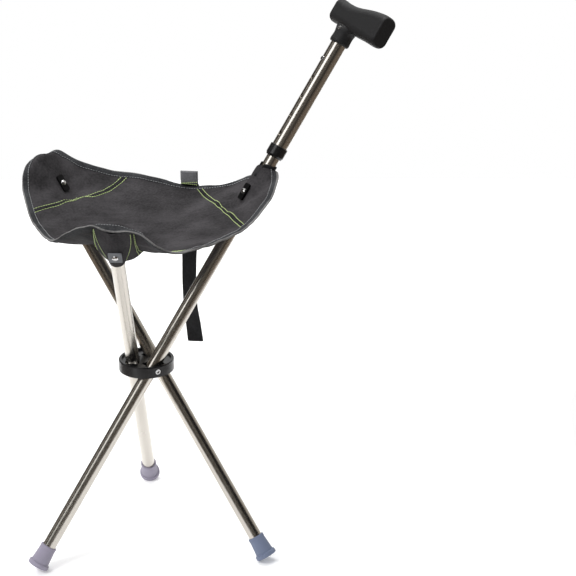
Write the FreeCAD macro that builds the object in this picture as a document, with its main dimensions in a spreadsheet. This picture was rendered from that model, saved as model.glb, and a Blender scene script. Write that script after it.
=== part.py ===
import FreeCAD, Part
import math
import os

import Sketcher
from FreeCAD import Placement, Rotation, Vector

# Walking stick seat: a tripod stool whose three tubes cross at a round hub. One tube runs on up as the stick.
# Everything is drawn about the hub's centre and stood on its feet at the end.
# Each leg has a frame of its own: its pivot at zero, +Z up the tube, -Y out along its pivot bolt.
# "reach" in a name is a distance along a leg from its pivot.

doc = FreeCAD.newDocument("WalkingStickSeat")
dims = doc.addObject("Spreadsheet::Sheet", "Dims")

SIZES = [
    ("fold_angle", 35.0),
    ("pin_offset", 19.0),
    ("tube_dia", 19.0),
    ("tube_wall", 1.2),
    ("foot_reach", 325.0),
    ("leg_top_reach", 322.0),
    ("rivet_reach", 279.0),
    ("cane_tube_top", 510.0),
    ("upper_dia", 22.0),
    ("upper_wall", 1.2),
    ("upper_foot", 344.0),
    ("upper_top", 569.0),
    ("grip_screw_dia", 3.4),
    ("grip_screw_sink_dia", 7.2),
    ("grip_screw_seat", 12.6),
    ("grip_screw_tip", 6.0),
    ("first_hole", 375.0),
    ("hole_pitch", 30.0),
    ("hole_dia", 7.0),
    ("button_dia", 6.4),
    ("button_proud", 2.0),
    ("clip_width", 6.0),
    ("clip_strip", 0.8),
    ("clip_length", 42.0),
    ("clip_slack", 0.9),
    ("collar_dia", 26.0),
    ("collar_foot", 341.0),
    ("collar_height", 17.5),
    ("slide_gap", 0.05),
    ("neck_foot", 523.0),
    ("neck_dia", 28.5),
    ("grip_screw_reach", 543.0),
    ("hub_dia", 78.0),
    ("hub_height", 16.0),
    ("hub_rim", 4.0),
    ("hub_recess", 3.0),
    ("bay_gap", 0.4),
    ("bay_low", 17.6),
    ("bay_high", 9.9),
    ("bolt_dia", 5.0),
    ("bolt_head_dia", 7.4),
    ("bolt_head_height", 3.0),
    ("bolt_sink_dia", 9.5),
    ("bolt_sink_depth", 3.4),
    ("bolt_tip_gap", 1.0),
    ("socket_half", 2.3),
    ("socket_depth", 1.8),
    ("hub_edge", 1.2),
    ("bush_dia", 7.0),
    ("insert_dia", 7.0),
    ("insert_foot", 3.8),
    ("ferrule_height", 33.0),
    ("ferrule_base_dia", 30.0),
    ("ferrule_top_dia", 22.0),
    ("sole_thickness", 5.0),
    ("washer_thickness", 1.5),
    ("rivet_dia", 4.0),
    ("rivet_head_dia", 9.0),
    ("rivet_head_height", 2.6),
    ("tab_width", 12.0),
    ("tab_length", 25.0),
    ("tab_thickness", 2.5),
    ("patch_width", 18.0),
    ("patch_length", 20.0),
    ("patch_thickness", 1.6),
    ("pocket_foot", 247.0),
    ("pocket_top", 323.0),
    ("pocket_thickness", 1.5),
    ("pocket_angle", 160.0),
    ("cloth_gap", 0.8),
    ("cloth_thickness", 2.0),
    ("layer_gap", 0.3),
    ("seat_low", 205.0),
    ("bowl_power", 3.0),
    ("hem_power", 1.9),
    ("tip_reach", 197.0),
    ("shoulder_reach", 167.0),
    ("shoulder_half", 60.0),
    ("edge_bulge", 6.5),
    ("groove_depth", 13.0),
    ("groove_start", 105.0),
    ("groove_run", 30.0),
    ("groove_half", 15.0),
    ("strap_width", 25.0),
    ("strap_thickness", 1.6),
    ("strap_shift", 41.0),
    ("strap_drop", 246.0),
    ("tab_rise", 22.0),
    ("strap_root", 20.0),
    ("hook_length", 50.0),
    ("hook_thickness", 1.0),
    ("rivet_hole_gap", 0.4),
    ("stick_hole_gap", 0.7),
]

for row, (alias, value) in enumerate(SIZES, 1):
    dims.set(f"A{row}", alias)
    dims.set(f"B{row}", str(value))
    dims.setAlias(f"B{row}", alias)
doc.recompute()


def size(alias):
    return float(dims.get(alias))


# Legs by the seat corner that each one carries, in turn about the hub.
LEGS = ("cane", "rear", "front")
TURN = 360.0 / len(LEGS)
HOLES = 5
# Hem heights over the hub at the corners and at the middle of the edge after each, and how many degrees the
# cloth takes to come down from a corner on the side before it and after it.
CORNER_HEMS = (272.0, 273.0, 279.0)
EDGE_HEMS = (221.0, 210.0, 213.0)
SPREAD_BEFORE = (23.0, 28.0, 32.0)
SPREAD_AFTER = (17.0, 21.0, 24.0)
# Crown of the cloth over each tube, and how fast it falls away to the sides.
CROWNS = (271.0, 276.0, 276.0)
CROWN_FALLS = (0.018, 0.0128, 0.0128)
X_AXIS, Y_AXIS, Z_AXIS = Vector(1, 0, 0), Vector(0, 1, 0), Vector(0, 0, 1)
kept = []


def keep(thing, node, placement=None):
    """Names a finished sub-part, moves it from its own frame to its place and lists it for export."""
    thing.Label = node
    if placement is not None:
        thing.Placement = placement
    kept.append(thing)
    return thing


def turned(number):
    return Placement(Vector(), Rotation(Z_AXIS, TURN * number))


def leg_frame(number):
    tilt = Placement(Vector(0, -size("pin_offset"), 0), Rotation(Y_AXIS, size("fold_angle")))
    return turned(number) * tilt


def bind(thing, **expressions):
    for name, expression in expressions.items():
        thing.setExpression(name.replace("__", "."), expression)
    return thing


def rod(name, radius, length, foot="0"):
    """A round bar along Z."""
    bar = doc.addObject("Part::Cylinder", name)
    return bind(bar, Radius=radius, Height=length, Placement__Base__z=foot)


def bar_along(name, direction, radius, length, start, reach="0"):
    """A round bar along -Y or along X, from start, at a height along the leg."""
    bar = doc.addObject("Part::Cylinder", name)
    turn = Rotation(X_AXIS, 90) if direction == "-Y" else Rotation(Y_AXIS, 90)
    bar.Placement = Placement(Vector(), turn)
    bind(bar, Radius=radius, Height=length, Placement__Base__z=reach)
    if direction == "-Y":
        return bind(bar, Placement__Base__y=f"-({start})")
    return bind(bar, Placement__Base__x=start)


def cut(name, base, *tools):
    tool = tools[0]
    if len(tools) > 1:
        tool = doc.addObject("Part::MultiFuse", f"{name}_tools")
        tool.Shapes = list(tools)
    result = doc.addObject("Part::Cut", name)
    result.Base, result.Tool = base, tool
    return result


def joined(name, *pieces):
    result = doc.addObject("Part::MultiFuse", name)
    result.Shapes = list(pieces)
    return result


def group(name, pieces):
    """Several like solids, kept apart, in one sub-part."""
    result = doc.addObject("Part::Compound", name)
    result.Links = pieces
    return result


def outline(body, plane, points):
    """A closed sketch of straight lines on one of the body's planes, its points as pairs of expressions."""
    sketch = body.newObject("Sketcher::SketchObject", f"{body.Name}_outline")
    planes = {feature.Role: feature for feature in body.Origin.OriginFeatures}
    sketch.AttachmentSupport = [(planes[plane], "")]
    sketch.MapMode = "FlatFace"
    places = [Vector(number_of(x), number_of(y), 0) for x, y in points]
    for i, place in enumerate(places):
        sketch.addGeometry(Part.LineSegment(place, places[(i + 1) % len(places)]), False)
    for i in range(len(places)):
        sketch.addConstraint(Sketcher.Constraint("Coincident", i, 2, (i + 1) % len(places), 1))
    for i, (x, y) in enumerate(points):
        for kind, axis, expression in (("DistanceX", -2, x), ("DistanceY", -1, y)):
            if expression == "0":
                sketch.addConstraint(Sketcher.Constraint("PointOnObject", i, 1, axis))
                continue
            number = number_of(expression)
            n = sketch.addConstraint(Sketcher.Constraint(kind, -1, 1, i, 1, number))
            sketch.setExpression(f"Constraints[{n}]", expression)
    return sketch


def number_of(expression):
    """The value of an expression in the sheet's aliases."""
    known = {alias: size(alias) for alias, _ in SIZES}
    for alias in sorted(known, key=len, reverse=True):
        expression = expression.replace(f"Dims.{alias}", f"({known[alias]})")
    return float(FreeCAD.Units.Quantity(expression.replace(" ", "")).Value)


def lathe(name, points):
    """A turned piece: half its outline, as (radius, height) pairs, revolved about Z."""
    body = doc.addObject("PartDesign::Body", name)
    sketch = outline(body, "XZ_Plane", points)
    spun = body.newObject("PartDesign::Revolution", f"{name}_spun")
    spun.Profile = sketch
    spun.ReferenceAxis = (sketch, ["V_Axis"])
    spun.Angle = 360.0
    return body


def prism(name, plane, points, width):
    """A flat outline padded to both sides of its plane."""
    body = doc.addObject("PartDesign::Body", name)
    sketch = outline(body, plane, points)
    pad = body.newObject("PartDesign::Pad", f"{name}_pad")
    pad.Profile = sketch
    pad.Midplane = True
    pad.setExpression("Length", width)
    return body


# Hub


def bay_cutters(number):
    """The slot that one leg swings in, with its bolt's clearance hole, head recess and insert bore."""
    bay = doc.addObject("Part::Wedge", f"bay_{number}")
    bay.Placement = Placement(Vector(), Rotation(X_AXIS, 90))
    bind(
        bay,
        Xmin="-Dims.bay_low",
        Xmax="Dims.bay_high",
        X2min="-Dims.bay_high",
        X2max="Dims.bay_low",
        Ymin="-Dims.hub_height / 2",
        Ymax="Dims.hub_height / 2",
        Zmin="Dims.pin_offset - Dims.tube_dia / 2 - Dims.bay_gap",
        Zmax="Dims.pin_offset + Dims.tube_dia / 2 + Dims.bay_gap",
        Z2min="Dims.pin_offset - Dims.tube_dia / 2 - Dims.bay_gap",
        Z2max="Dims.pin_offset + Dims.tube_dia / 2 + Dims.bay_gap",
    )
    hole = bar_along(
        f"bolt_hole_{number}", "-Y", "Dims.bolt_dia / 2 + Dims.slide_gap",
        "Dims.hub_dia / 2 - Dims.pin_offset", "Dims.pin_offset",
    )
    sink = bar_along(
        f"bolt_sink_{number}", "-Y", "Dims.bolt_sink_dia / 2", "Dims.bolt_sink_depth * 2",
        "Dims.hub_dia / 2 - Dims.bolt_sink_depth",
    )
    insert = bar_along(
        f"insert_bore_{number}", "-Y", "Dims.insert_dia / 2", "Dims.pin_offset - Dims.insert_foot",
        "Dims.insert_foot",
    )
    cutter = joined(f"bay_cutter_{number}", bay, hole, sink, insert)
    cutter.Placement = turned(number)
    return cutter


def hub_block():
    blank = rod("hub_blank", "Dims.hub_dia / 2", "Dims.hub_height", "-Dims.hub_height / 2")
    edge = doc.addObject("Part::Chamfer", "hub_edges")
    edge.Base = blank
    edge.Edges = [(n, size("hub_edge"), size("hub_edge")) for n in (1, 3)]
    inner = "Dims.hub_dia / 2 - Dims.hub_rim"
    top = rod("hub_top_recess", inner, "Dims.hub_recess * 2", "Dims.hub_height / 2 - Dims.hub_recess")
    low = rod("hub_low_recess", inner, "Dims.hub_recess * 2", "-Dims.hub_height / 2 - Dims.hub_recess")
    bays = [bay_cutters(number) for number in range(len(LEGS))]
    return cut("hub_cut", edge, top, low, *bays)


def pivot_bolt(number):
    shank = bar_along(
        f"bolt_shank_{number}", "-Y", "Dims.bolt_dia / 2",
        "Dims.hub_dia / 2 - Dims.bolt_sink_depth - Dims.insert_foot - Dims.bolt_tip_gap",
        "Dims.insert_foot + Dims.bolt_tip_gap",
    )
    head = bar_along(
        f"bolt_head_{number}", "-Y", "Dims.bolt_head_dia / 2", "Dims.bolt_head_height",
        "Dims.hub_dia / 2 - Dims.bolt_sink_depth",
    )
    socket = doc.addObject("Part::Prism", f"bolt_socket_{number}")
    socket.Polygon = 6
    socket.Placement = Placement(Vector(), Rotation(X_AXIS, 90))
    head_top = "Dims.hub_dia / 2 - Dims.bolt_sink_depth + Dims.bolt_head_height"
    bind(
        socket, Circumradius="Dims.socket_half", Height="Dims.bolt_head_height",
        Placement__Base__y=f"-({head_top} - Dims.socket_depth)",
    )
    bolt = cut(f"pivot_bolt_{number}", joined(f"bolt_blank_{number}", shank, head), socket)
    bolt.Placement = turned(number)
    return bolt


def pivot_bush(number):
    inner_face = "Dims.pin_offset - Dims.tube_dia / 2 - Dims.bay_gap"
    length = "Dims.tube_dia + 2 * Dims.bay_gap"
    sleeve = bar_along(f"bush_outer_{number}", "-Y", "Dims.bush_dia / 2", length, inner_face)
    bore = bar_along(f"bush_bore_{number}", "-Y", "Dims.bolt_dia / 2 + Dims.slide_gap", length, inner_face)
    bush = cut(f"pivot_bush_{number}", sleeve, bore)
    bush.Placement = turned(number)
    return bush


def pivot_insert(number):
    length = "Dims.pin_offset - Dims.tube_dia / 2 - Dims.bay_gap - Dims.insert_foot"
    outer = bar_along(f"insert_outer_{number}", "-Y", "Dims.insert_dia / 2", length, "Dims.insert_foot")
    bore = bar_along(f"insert_thread_{number}", "-Y", "Dims.bolt_dia / 2", length, "Dims.insert_foot")
    insert = cut(f"pivot_insert_{number}", outer, bore)
    insert.Placement = turned(number)
    return insert


# Legs

TUBE_R = "Dims.tube_dia / 2"
BORE_R = "Dims.tube_dia / 2 - Dims.tube_wall"
TUBE_FOOT = "-Dims.foot_reach + Dims.sole_thickness + Dims.washer_thickness"


def leg_tube(leg, top):
    length = f"{top} - ({TUBE_FOOT})"
    outer = rod(f"{leg}_outer", TUBE_R, length, TUBE_FOOT)
    bore = rod(f"{leg}_bore", BORE_R, length, TUBE_FOOT)
    pivot = bar_along(
        f"{leg}_pivot_hole", "-Y", "Dims.bush_dia / 2 + Dims.slide_gap", "Dims.tube_dia * 2", "-Dims.tube_dia"
    )
    rivet = bar_along(
        f"{leg}_rivet_hole", "X", "Dims.rivet_dia / 2", "Dims.tube_dia * 2", "-Dims.tube_dia",
        "Dims.rivet_reach",
    )
    holes = [bore, pivot, rivet]
    if leg == "cane":
        holes.append(
            bar_along(
                "cane_button_hole", "X", "Dims.hole_dia / 2 - 0.1", "Dims.tube_dia", "-Dims.tube_dia",
                f"Dims.first_hole + {HOLES - 1} * Dims.hole_pitch",
            )
        )
    return cut(f"{leg}_tube_cut", outer, *holes)


def end_cap(leg):
    """Plug with a rounded head in the top of a short leg."""
    top = "Dims.leg_top_reach"
    return lathe(
        f"{leg}_cap_body",
        [
            ("0", f"{top} - 12"), (f"{BORE_R} - 0.6", f"{top} - 12"), (BORE_R, f"{top} - 11"), (BORE_R, top),
            (TUBE_R, top), (TUBE_R, f"{top} + 1"), (f"{TUBE_R} - 1.2", f"{top} + 2.4"),
            (f"{TUBE_R} - 4", f"{top} + 3.2"), ("0", f"{top} + 3.5"),
        ],
    )


def ferrule(leg):
    """Flared rubber foot: a thick sole, a base rim, a tapered skirt and a rolled lip at its mouth."""
    sole = "-Dims.foot_reach"
    base, mouth = "Dims.ferrule_base_dia / 2", "Dims.ferrule_top_dia / 2"
    return lathe(
        f"{leg}_ferrule_body",
        [
            ("0", sole), (f"{base} - 1", sole), (base, f"{sole} + 1"), (base, f"{sole} + 5.5"),
            (f"{base} - 0.8", f"{sole} + 6.5"), (f"{base} - 2.2", f"{sole} + 7"),
            (f"{mouth} + 0.3", f"{sole} + Dims.ferrule_height - 5"),
            (f"{mouth} + 0.6", f"{sole} + Dims.ferrule_height - 4"),
            (f"{mouth} + 0.6", f"{sole} + Dims.ferrule_height - 0.8"),
            (f"{mouth}", f"{sole} + Dims.ferrule_height"), (TUBE_R, f"{sole} + Dims.ferrule_height"),
            (TUBE_R, f"{sole} + Dims.sole_thickness"), ("0", f"{sole} + Dims.sole_thickness"),
        ],
    )


def ferrule_washer(leg):
    return rod(f"{leg}_washer", TUBE_R, "Dims.washer_thickness", "-Dims.foot_reach + Dims.sole_thickness")


# How far each layer at a seat corner stands from the tube's axis: cloth and tab inside, pocket and patch
# outside.
CLOTH_OUT = "Dims.tube_dia / 2 + Dims.cloth_gap + Dims.cloth_thickness * 0.58"
TAB_IN = f"{CLOTH_OUT} + Dims.layer_gap * 3"
HEAD_IN = f"{TAB_IN} + Dims.tab_thickness"
POCKET_IN = "Dims.tube_dia / 2 + Dims.layer_gap"
PATCH_IN = f"{POCKET_IN} + Dims.pocket_thickness"
HEAD_OUT = f"{PATCH_IN} + Dims.patch_thickness"


def seat_rivet(leg):
    """Rivet through the tube, along X, with a domed head over the tab and another over the patch."""
    shank, head, height = "Dims.rivet_dia / 2", "Dims.rivet_head_dia / 2", "Dims.rivet_head_height"
    rivet = lathe(
        f"{leg}_rivet_body",
        [
            ("0", f"-({HEAD_IN}) - {height}"), (f"{head} * 0.55", f"-({HEAD_IN}) - {height} * 0.86"),
            (f"{head} * 0.9", f"-({HEAD_IN}) - {height} * 0.45"), (head, f"-({HEAD_IN})"),
            (shank, f"-({HEAD_IN})"), (shank, HEAD_OUT), (head, HEAD_OUT),
            (f"{head} * 0.9", f"{HEAD_OUT} + {height} * 0.45"),
            (f"{head} * 0.55", f"{HEAD_OUT} + {height} * 0.86"), ("0", f"{HEAD_OUT} + {height}"),
        ],
    )
    return rivet, Placement(Vector(0, 0, size("rivet_reach")), Rotation(Y_AXIS, 90))


def plate(name, width, length, thickness, near, corner, side):
    """Drilled plate with rounded corners, lying against a tube on its outer (+1) or inner (-1) side."""
    box = doc.addObject("Part::Box", f"{name}_box")
    start = near if side > 0 else f"-({near}) - {thickness}"
    bind(
        box, Length=thickness, Width=width, Height=length, Placement__Base__x=start,
        Placement__Base__y=f"-{width} / 2", Placement__Base__z=f"Dims.rivet_reach - {length} / 2",
    )
    doc.recompute()
    along_x = [
        n for n, edge in enumerate(box.Shape.Edges, 1)
        if abs(edge.tangentAt(edge.FirstParameter).x) > 0.99
    ]
    rounded = doc.addObject("Part::Fillet", f"{name}_rounded")
    rounded.Base = box
    rounded.Edges = [(n, corner, corner) for n in along_x]
    drill = bar_along(
        f"{name}_drill", "X", "Dims.rivet_dia / 2", "Dims.tube_dia * 4", "-Dims.tube_dia * 2",
        "Dims.rivet_reach",
    )
    return cut(f"{name}_plate", rounded, drill)


def corner_pocket(leg):
    """Cloth of the pocket round the outer side of the tube, open where the seat lies on the tube."""
    length = "Dims.pocket_top - Dims.pocket_foot"
    outer = rod(f"{leg}_pocket_outer", f"{POCKET_IN} + Dims.pocket_thickness", length, "Dims.pocket_foot")
    inner = rod(f"{leg}_pocket_inner", POCKET_IN, length, "Dims.pocket_foot")
    for cloth in (outer, inner):
        cloth.setExpression("Angle", "Dims.pocket_angle")
        cloth.Placement = Placement(cloth.Placement.Base, Rotation(Z_AXIS, -size("pocket_angle") / 2))
    drill = bar_along(
        f"{leg}_pocket_drill", "X", "Dims.rivet_dia / 2", "Dims.tube_dia * 2", "0", "Dims.rivet_reach"
    )
    return cut(f"{leg}_pocket_cut", outer, inner, drill)


# Stick above the seat


def upper_tube():
    length = "Dims.upper_top - Dims.upper_foot"
    outer = rod("upper_outer", "Dims.upper_dia / 2", length, "Dims.upper_foot")
    bore = rod("upper_bore", "Dims.upper_dia / 2 - Dims.upper_wall", length, "Dims.upper_foot")
    holes = [
        bar_along(
            f"height_hole_{n}", "X", "Dims.hole_dia / 2", "Dims.upper_dia", "-Dims.upper_dia",
            f"Dims.first_hole + {n} * Dims.hole_pitch",
        )
        for n in range(HOLES)
    ]
    screw = bar_along(
        "upper_screw_hole", "X", "Dims.grip_screw_dia / 2", "Dims.upper_dia", "-Dims.upper_dia",
        "Dims.grip_screw_reach",
    )
    return cut("upper_cut", outer, bore, *holes, screw)


def collar():
    """Collar round the upper tube's foot. Its lip closes on the cane tube and stops the rattle."""
    foot, top = "Dims.collar_foot", "Dims.collar_foot + Dims.collar_height"
    outer, lip = "Dims.collar_dia / 2", "Dims.tube_dia / 2 + Dims.slide_gap"
    return lathe(
        "collar_body",
        [
            (lip, f"{foot} + 0.4"), (f"{lip} + 0.4", foot), (f"{outer} - 1.6", foot),
            (f"{outer} - 0.6", f"{foot} + 2.4"), (outer, f"{foot} + 3.2"), (outer, f"{top} - 0.8"),
            (f"{outer} - 0.8", top), ("Dims.upper_dia / 2", top), ("Dims.upper_dia / 2", "Dims.upper_foot"),
            (lip, "Dims.upper_foot"),
        ],
    )


def snap_clip():
    """Folded strip of spring steel in the cane tube, carrying the button that locks the height."""
    middle = f"Dims.first_hole + {HOLES - 1} * Dims.hole_pitch"
    near = "Dims.tube_dia / 2 - Dims.tube_wall - Dims.clip_slack"
    top, low = f"{middle} + 8", f"{middle} + 8 - Dims.clip_length"
    strip = prism(
        "clip_strip",
        "XZ_Plane",
        [
            (f"-({near})", top), (f"-({near}) + Dims.clip_strip", top),
            (f"-({near}) + Dims.clip_strip", f"{low} + 8"), ("-1.2", f"{low} + Dims.clip_strip"),
            ("1.2", f"{low} + Dims.clip_strip"), (f"{near} - Dims.clip_strip", f"{low} + 8"),
            (f"{near} - Dims.clip_strip", f"{top} - 4"), (near, f"{top} - 4"), (near, f"{low} + 7.6"),
            ("1.8", low), ("-1.8", low), (f"-({near})", f"{low} + 7.6"),
        ],
        "Dims.clip_width",
    )
    reach = "Dims.upper_dia / 2 + Dims.button_proud"
    button = bar_along(
        "clip_button", "X", "Dims.button_dia / 2", f"{reach} - ({near})", f"-({reach})", middle
    )
    return joined("clip_whole", strip, button)


# Stations along the grip: how far out towards its long end, underside and top over the neck's foot, width.
GRIP_STATIONS = [
    (-45.0, 29.0, 58.0, 18.5),
    (-42.5, 26.5, 60.5, 22.5),
    (-34.0, 25.5, 60.5, 25.0),
    (-16.0, 24.5, 58.5, 26.5),
    (4.0, 22.5, 58.0, 27.5),
    (26.0, 19.5, 60.0, 27.5),
    (48.0, 18.5, 62.3, 27.0),
    (68.0, 17.0, 63.0, 26.0),
    (82.0, 16.5, 62.0, 25.0),
    (85.0, 17.2, 61.0, 23.8),
    (86.5, 19.0, 59.3, 21.0),
]
# Neck sections: height over its foot, half-length towards the grip's ends, half-width.
NECK_SECTIONS = [
    (0.0, 13.4, 13.2),
    (1.0, 14.2, 14.0),
    (9.0, 14.6, 14.0),
    (16.0, 16.2, 13.6),
    (23.0, 21.5, 12.6),
    (30.0, 31.0, 11.0),
]


def rounded_ring(out, low, high, width):
    """Rounded rectangle across the grip: straight sides with corner arcs."""
    half, radius = width / 2, min(width, high - low) * 0.42
    y = -out
    side = half - radius
    rise = (high - low) / 2 - radius
    centre = (low + high) / 2
    edges = []
    for turn in range(4):
        start = math.radians(90 * turn)
        cx = side if turn in (0, 3) else -side
        cz = rise if turn in (0, 1) else -rise
        ends = [
            Vector(cx + radius * math.cos(start + a), y, centre + cz + radius * math.sin(start + a))
            for a in (0, math.pi / 4, math.pi / 2)
        ]
        edges.append(Part.Arc(*ends).toShape())
    for n in range(4):
        first = edges[2 * n].Vertexes[-1].Point
        second = edges[(2 * n + 1) % len(edges)].Vertexes[0].Point
        edges.insert(2 * n + 1, Part.makeLine(first, second))
    return Part.Wire(edges)


def neck_ring(height, long_half, wide_half):
    major, minor = max(long_half, wide_half), min(long_half, wide_half)
    ellipse = Part.Ellipse(Vector(0, 0, height), major, minor)
    ring = Part.Wire([ellipse.toShape()])
    if long_half >= wide_half:
        ring.rotate(Vector(0, 0, height), Z_AXIS, 90)
    return ring


def grip_shape():
    """T-handle: a saddle-topped bar, long end outwards, on a flared neck bored for the upper tube."""
    bar = Part.makeLoft([rounded_ring(*station) for station in GRIP_STATIONS], True, False)
    neck = Part.makeLoft([neck_ring(*section) for section in NECK_SECTIONS], True, False)
    grip = bar.fuse(neck).removeSplitter()
    grip.translate(Vector(0, 0, size("neck_foot")))
    bore_length = size("upper_top") - size("neck_foot")
    bore = Part.makeCylinder(size("upper_dia") / 2, bore_length, Vector(0, 0, size("neck_foot")))
    at_screw = Vector(-size("neck_dia"), 0, size("grip_screw_reach"))
    shank = Part.makeCylinder(size("grip_screw_dia") / 2, size("neck_dia"), at_screw, X_AXIS)
    sink = Part.makeCylinder(
        size("grip_screw_sink_dia") / 2, size("neck_dia") - size("grip_screw_seat"), at_screw, X_AXIS
    )
    return grip.cut(bore).cut(shank).cut(sink)


def grip_screw():
    """Self-tapping screw through the neck into the tube's wall, its head in the counterbore."""
    seat, shank = "-Dims.grip_screw_seat", "Dims.grip_screw_dia / 2"
    screw = lathe(
        "grip_screw_body",
        [
            ("0", f"{seat} - 1.4"), (f"{shank} - 0.1", f"{seat} - 1.2"), (f"{shank} + 1.1", f"{seat} - 0.7"),
            (f"{shank} + 1.5", seat), (shank, seat), (shank, "-Dims.grip_screw_tip - 1.4"),
            ("0", "-Dims.grip_screw_tip"),
        ],
    )
    return screw, Placement(Vector(0, 0, size("grip_screw_reach")), Rotation(Y_AXIS, 90))


# Seat


def leg_axes(number):
    """Horizontal directions of a leg: the way its tube leans, and outwards along its bolt."""
    turn = math.radians(TURN * number)
    return Vector(math.cos(turn), math.sin(turn), 0), Vector(math.sin(turn), -math.cos(turn), 0)


def corner_turn(number):
    """Angle about the hub of a seat corner, which stands over the top of its tube."""
    lean = size("leg_top_reach") * math.sin(math.radians(size("fold_angle")))
    return math.radians(TURN * number) - math.atan2(size("pin_offset"), lean)


def rim_reach(turn):
    """Distance of the seat's outline from the hub's axis: an arc round each tip, an arc along each edge."""
    tip, shoulder, half, bulge = (
        size("tip_reach"), size("shoulder_reach"), size("shoulder_half"), size("edge_bulge")
    )
    off = (turn - corner_turn(0)) % math.radians(TURN)
    off = min(off, math.radians(TURN) - off)
    if off < math.atan2(half, shoulder):
        radius = (half**2 + (tip - shoulder) ** 2) / (2 * (tip - shoulder))
        centre, aside = tip - radius, off
    else:
        third = math.radians(TURN / 2)
        half_chord = shoulder * math.sin(third) - half * math.cos(third)
        radius = (half_chord**2 + bulge**2) / (2 * bulge)
        centre = shoulder * math.cos(third) + half * math.sin(third) + bulge - radius
        aside = third - off
    along = centre * math.cos(aside)
    return along + math.sqrt(radius**2 - centre**2 + along**2)


def hem_height(turn):
    """Height of the seat's edge at an angle about the hub."""
    past = math.degrees(turn - corner_turn(0)) % 360
    number = int(past // TURN) % len(LEGS)
    onward = (number + 1) % len(LEGS)
    off, left = past % TURN, TURN - past % TURN
    edge, power = EDGE_HEMS[number], size("hem_power")
    fall = (CORNER_HEMS[number] - edge) * math.exp(-((off / SPREAD_AFTER[number]) ** power))
    rise = (CORNER_HEMS[onward] - edge) * math.exp(-((left / SPREAD_BEFORE[onward]) ** power))
    return edge + fall + rise


def smooth_step(share):
    share = min(1.0, max(0.0, share))
    return share * share * (3 - 2 * share)


def blend_up(first, second, spread):
    """The larger of two heights, rounded off where they meet."""
    high, low = max(first, second), min(first, second)
    return high + spread * math.log1p(math.exp((low - high) / spread))


def blend_down(first, second, spread):
    return -blend_up(-first, -second, spread)


def leg_plan(number, x, y):
    """How far a plan point is along a leg's lean and out from its tube."""
    lean, out = leg_axes(number)
    return x * lean.x + y * lean.y, x * out.x + y * out.y - size("pin_offset")


def corner_sheet(number, along, across):
    """Height of the cloth where it lies up a tube's inner side and turns over the tube's end."""
    tilt = math.radians(size("fold_angle"))
    stand_off = size("tube_dia") / 2 + size("cloth_gap")
    slope = along / math.tan(tilt) + stand_off / math.sin(tilt) + size("cloth_thickness")
    end = size("leg_top_reach") * math.sin(tilt) - 8
    crown = CROWNS[number] - 0.03 * (along - end) ** 2
    return blend_down(slope, crown, 2.0) - CROWN_FALLS[number] * across**2


def seat_top(x, y):
    """Height of the seat's upper face: a bowl up to the hem, grooved to lie along each tube."""
    turn = math.atan2(y, x)
    share = math.hypot(x, y) / rim_reach(turn)
    height = size("seat_low") + (hem_height(turn) - size("seat_low")) * share ** size("bowl_power")
    places = [leg_plan(number, x, y) for number in range(len(LEGS))]
    for along, across in places:
        run = smooth_step((along - size("groove_start")) / size("groove_run"))
        height -= size("groove_depth") * run * math.exp(-((across / size("groove_half")) ** 2) / 2)
    for number, (along, across) in enumerate(places):
        height = blend_up(height, corner_sheet(number, along, across), 2.5)
    return height


def seat_outline():
    """Plan of the seat: three blunt corners joined by edges that belly slightly outwards."""
    tips = []
    for number in range(len(LEGS)):
        turn = corner_turn(number)
        ahead = Vector(math.cos(turn), math.sin(turn), 0)
        aside = Vector(-math.sin(turn), math.cos(turn), 0)
        shoulder, half = ahead * size("shoulder_reach"), aside * size("shoulder_half")
        tips.append((shoulder - half, ahead * size("tip_reach"), shoulder + half))
    edges = []
    for number, (start, middle, end) in enumerate(tips):
        edges.append(Part.Arc(start, middle, end).toShape())
        onward = tips[(number + 1) % len(tips)][0]
        half_way = (end + onward) * 0.5
        outward = Vector(half_way).normalize() * size("edge_bulge")
        edges.append(Part.Arc(end, half_way + outward, onward).toShape())
    return Part.Wire(edges)


def seat_cloth_shape():
    """Sagging three-cornered cloth. It lies up the tubes at its corners and its edges turn down."""
    extent, count = 216.0, 73
    step = 2 * extent / (count - 1)
    ticks = [n * step - extent for n in range(count)]
    top = Part.BSplineSurface()
    top.interpolate([[Vector(x, y, seat_top(x, y)) for y in ticks] for x in ticks])
    sheet = top.toShape().extrude(Vector(0, 0, -size("cloth_thickness")))
    plan = Part.Face(seat_outline()).extrude(Z_AXIS * size("leg_top_reach") * 2)
    cloth = sheet.common(plan)
    for number in range(len(LEGS)):
        rivet_hole = Part.makeCylinder(
            size("rivet_dia") / 2 + size("rivet_hole_gap"), size("tube_dia") * 2,
            Vector(-size("tube_dia") * 2, 0, size("rivet_reach")), X_AXIS,
        )
        rivet_hole.Placement = leg_frame(number) * rivet_hole.Placement
        cloth = cloth.cut(rivet_hole)
    stick = Part.makeCylinder(size("tube_dia") / 2 + size("stick_hole_gap"), size("cane_tube_top"))
    stick.Placement = leg_frame(0) * stick.Placement
    return cloth.cut(stick)


def strap_frame():
    """Outwards and sideways at the middle of the edge between cane and rear, where the strap hangs."""
    turn = corner_turn(0) + math.radians(TURN / 2)
    out = Vector(math.cos(turn), math.sin(turn), 0)
    aside = Vector(-math.sin(turn), math.cos(turn), 0)
    return out, aside


def rim_along(out, start):
    """How far the outline is from a plan point, going straight outwards."""
    distance = size("shoulder_reach")
    for _ in range(20):
        place = start + out * distance
        gap = rim_reach(math.atan2(place.y, place.x)) - place.Length
        distance += gap
    return distance


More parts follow.
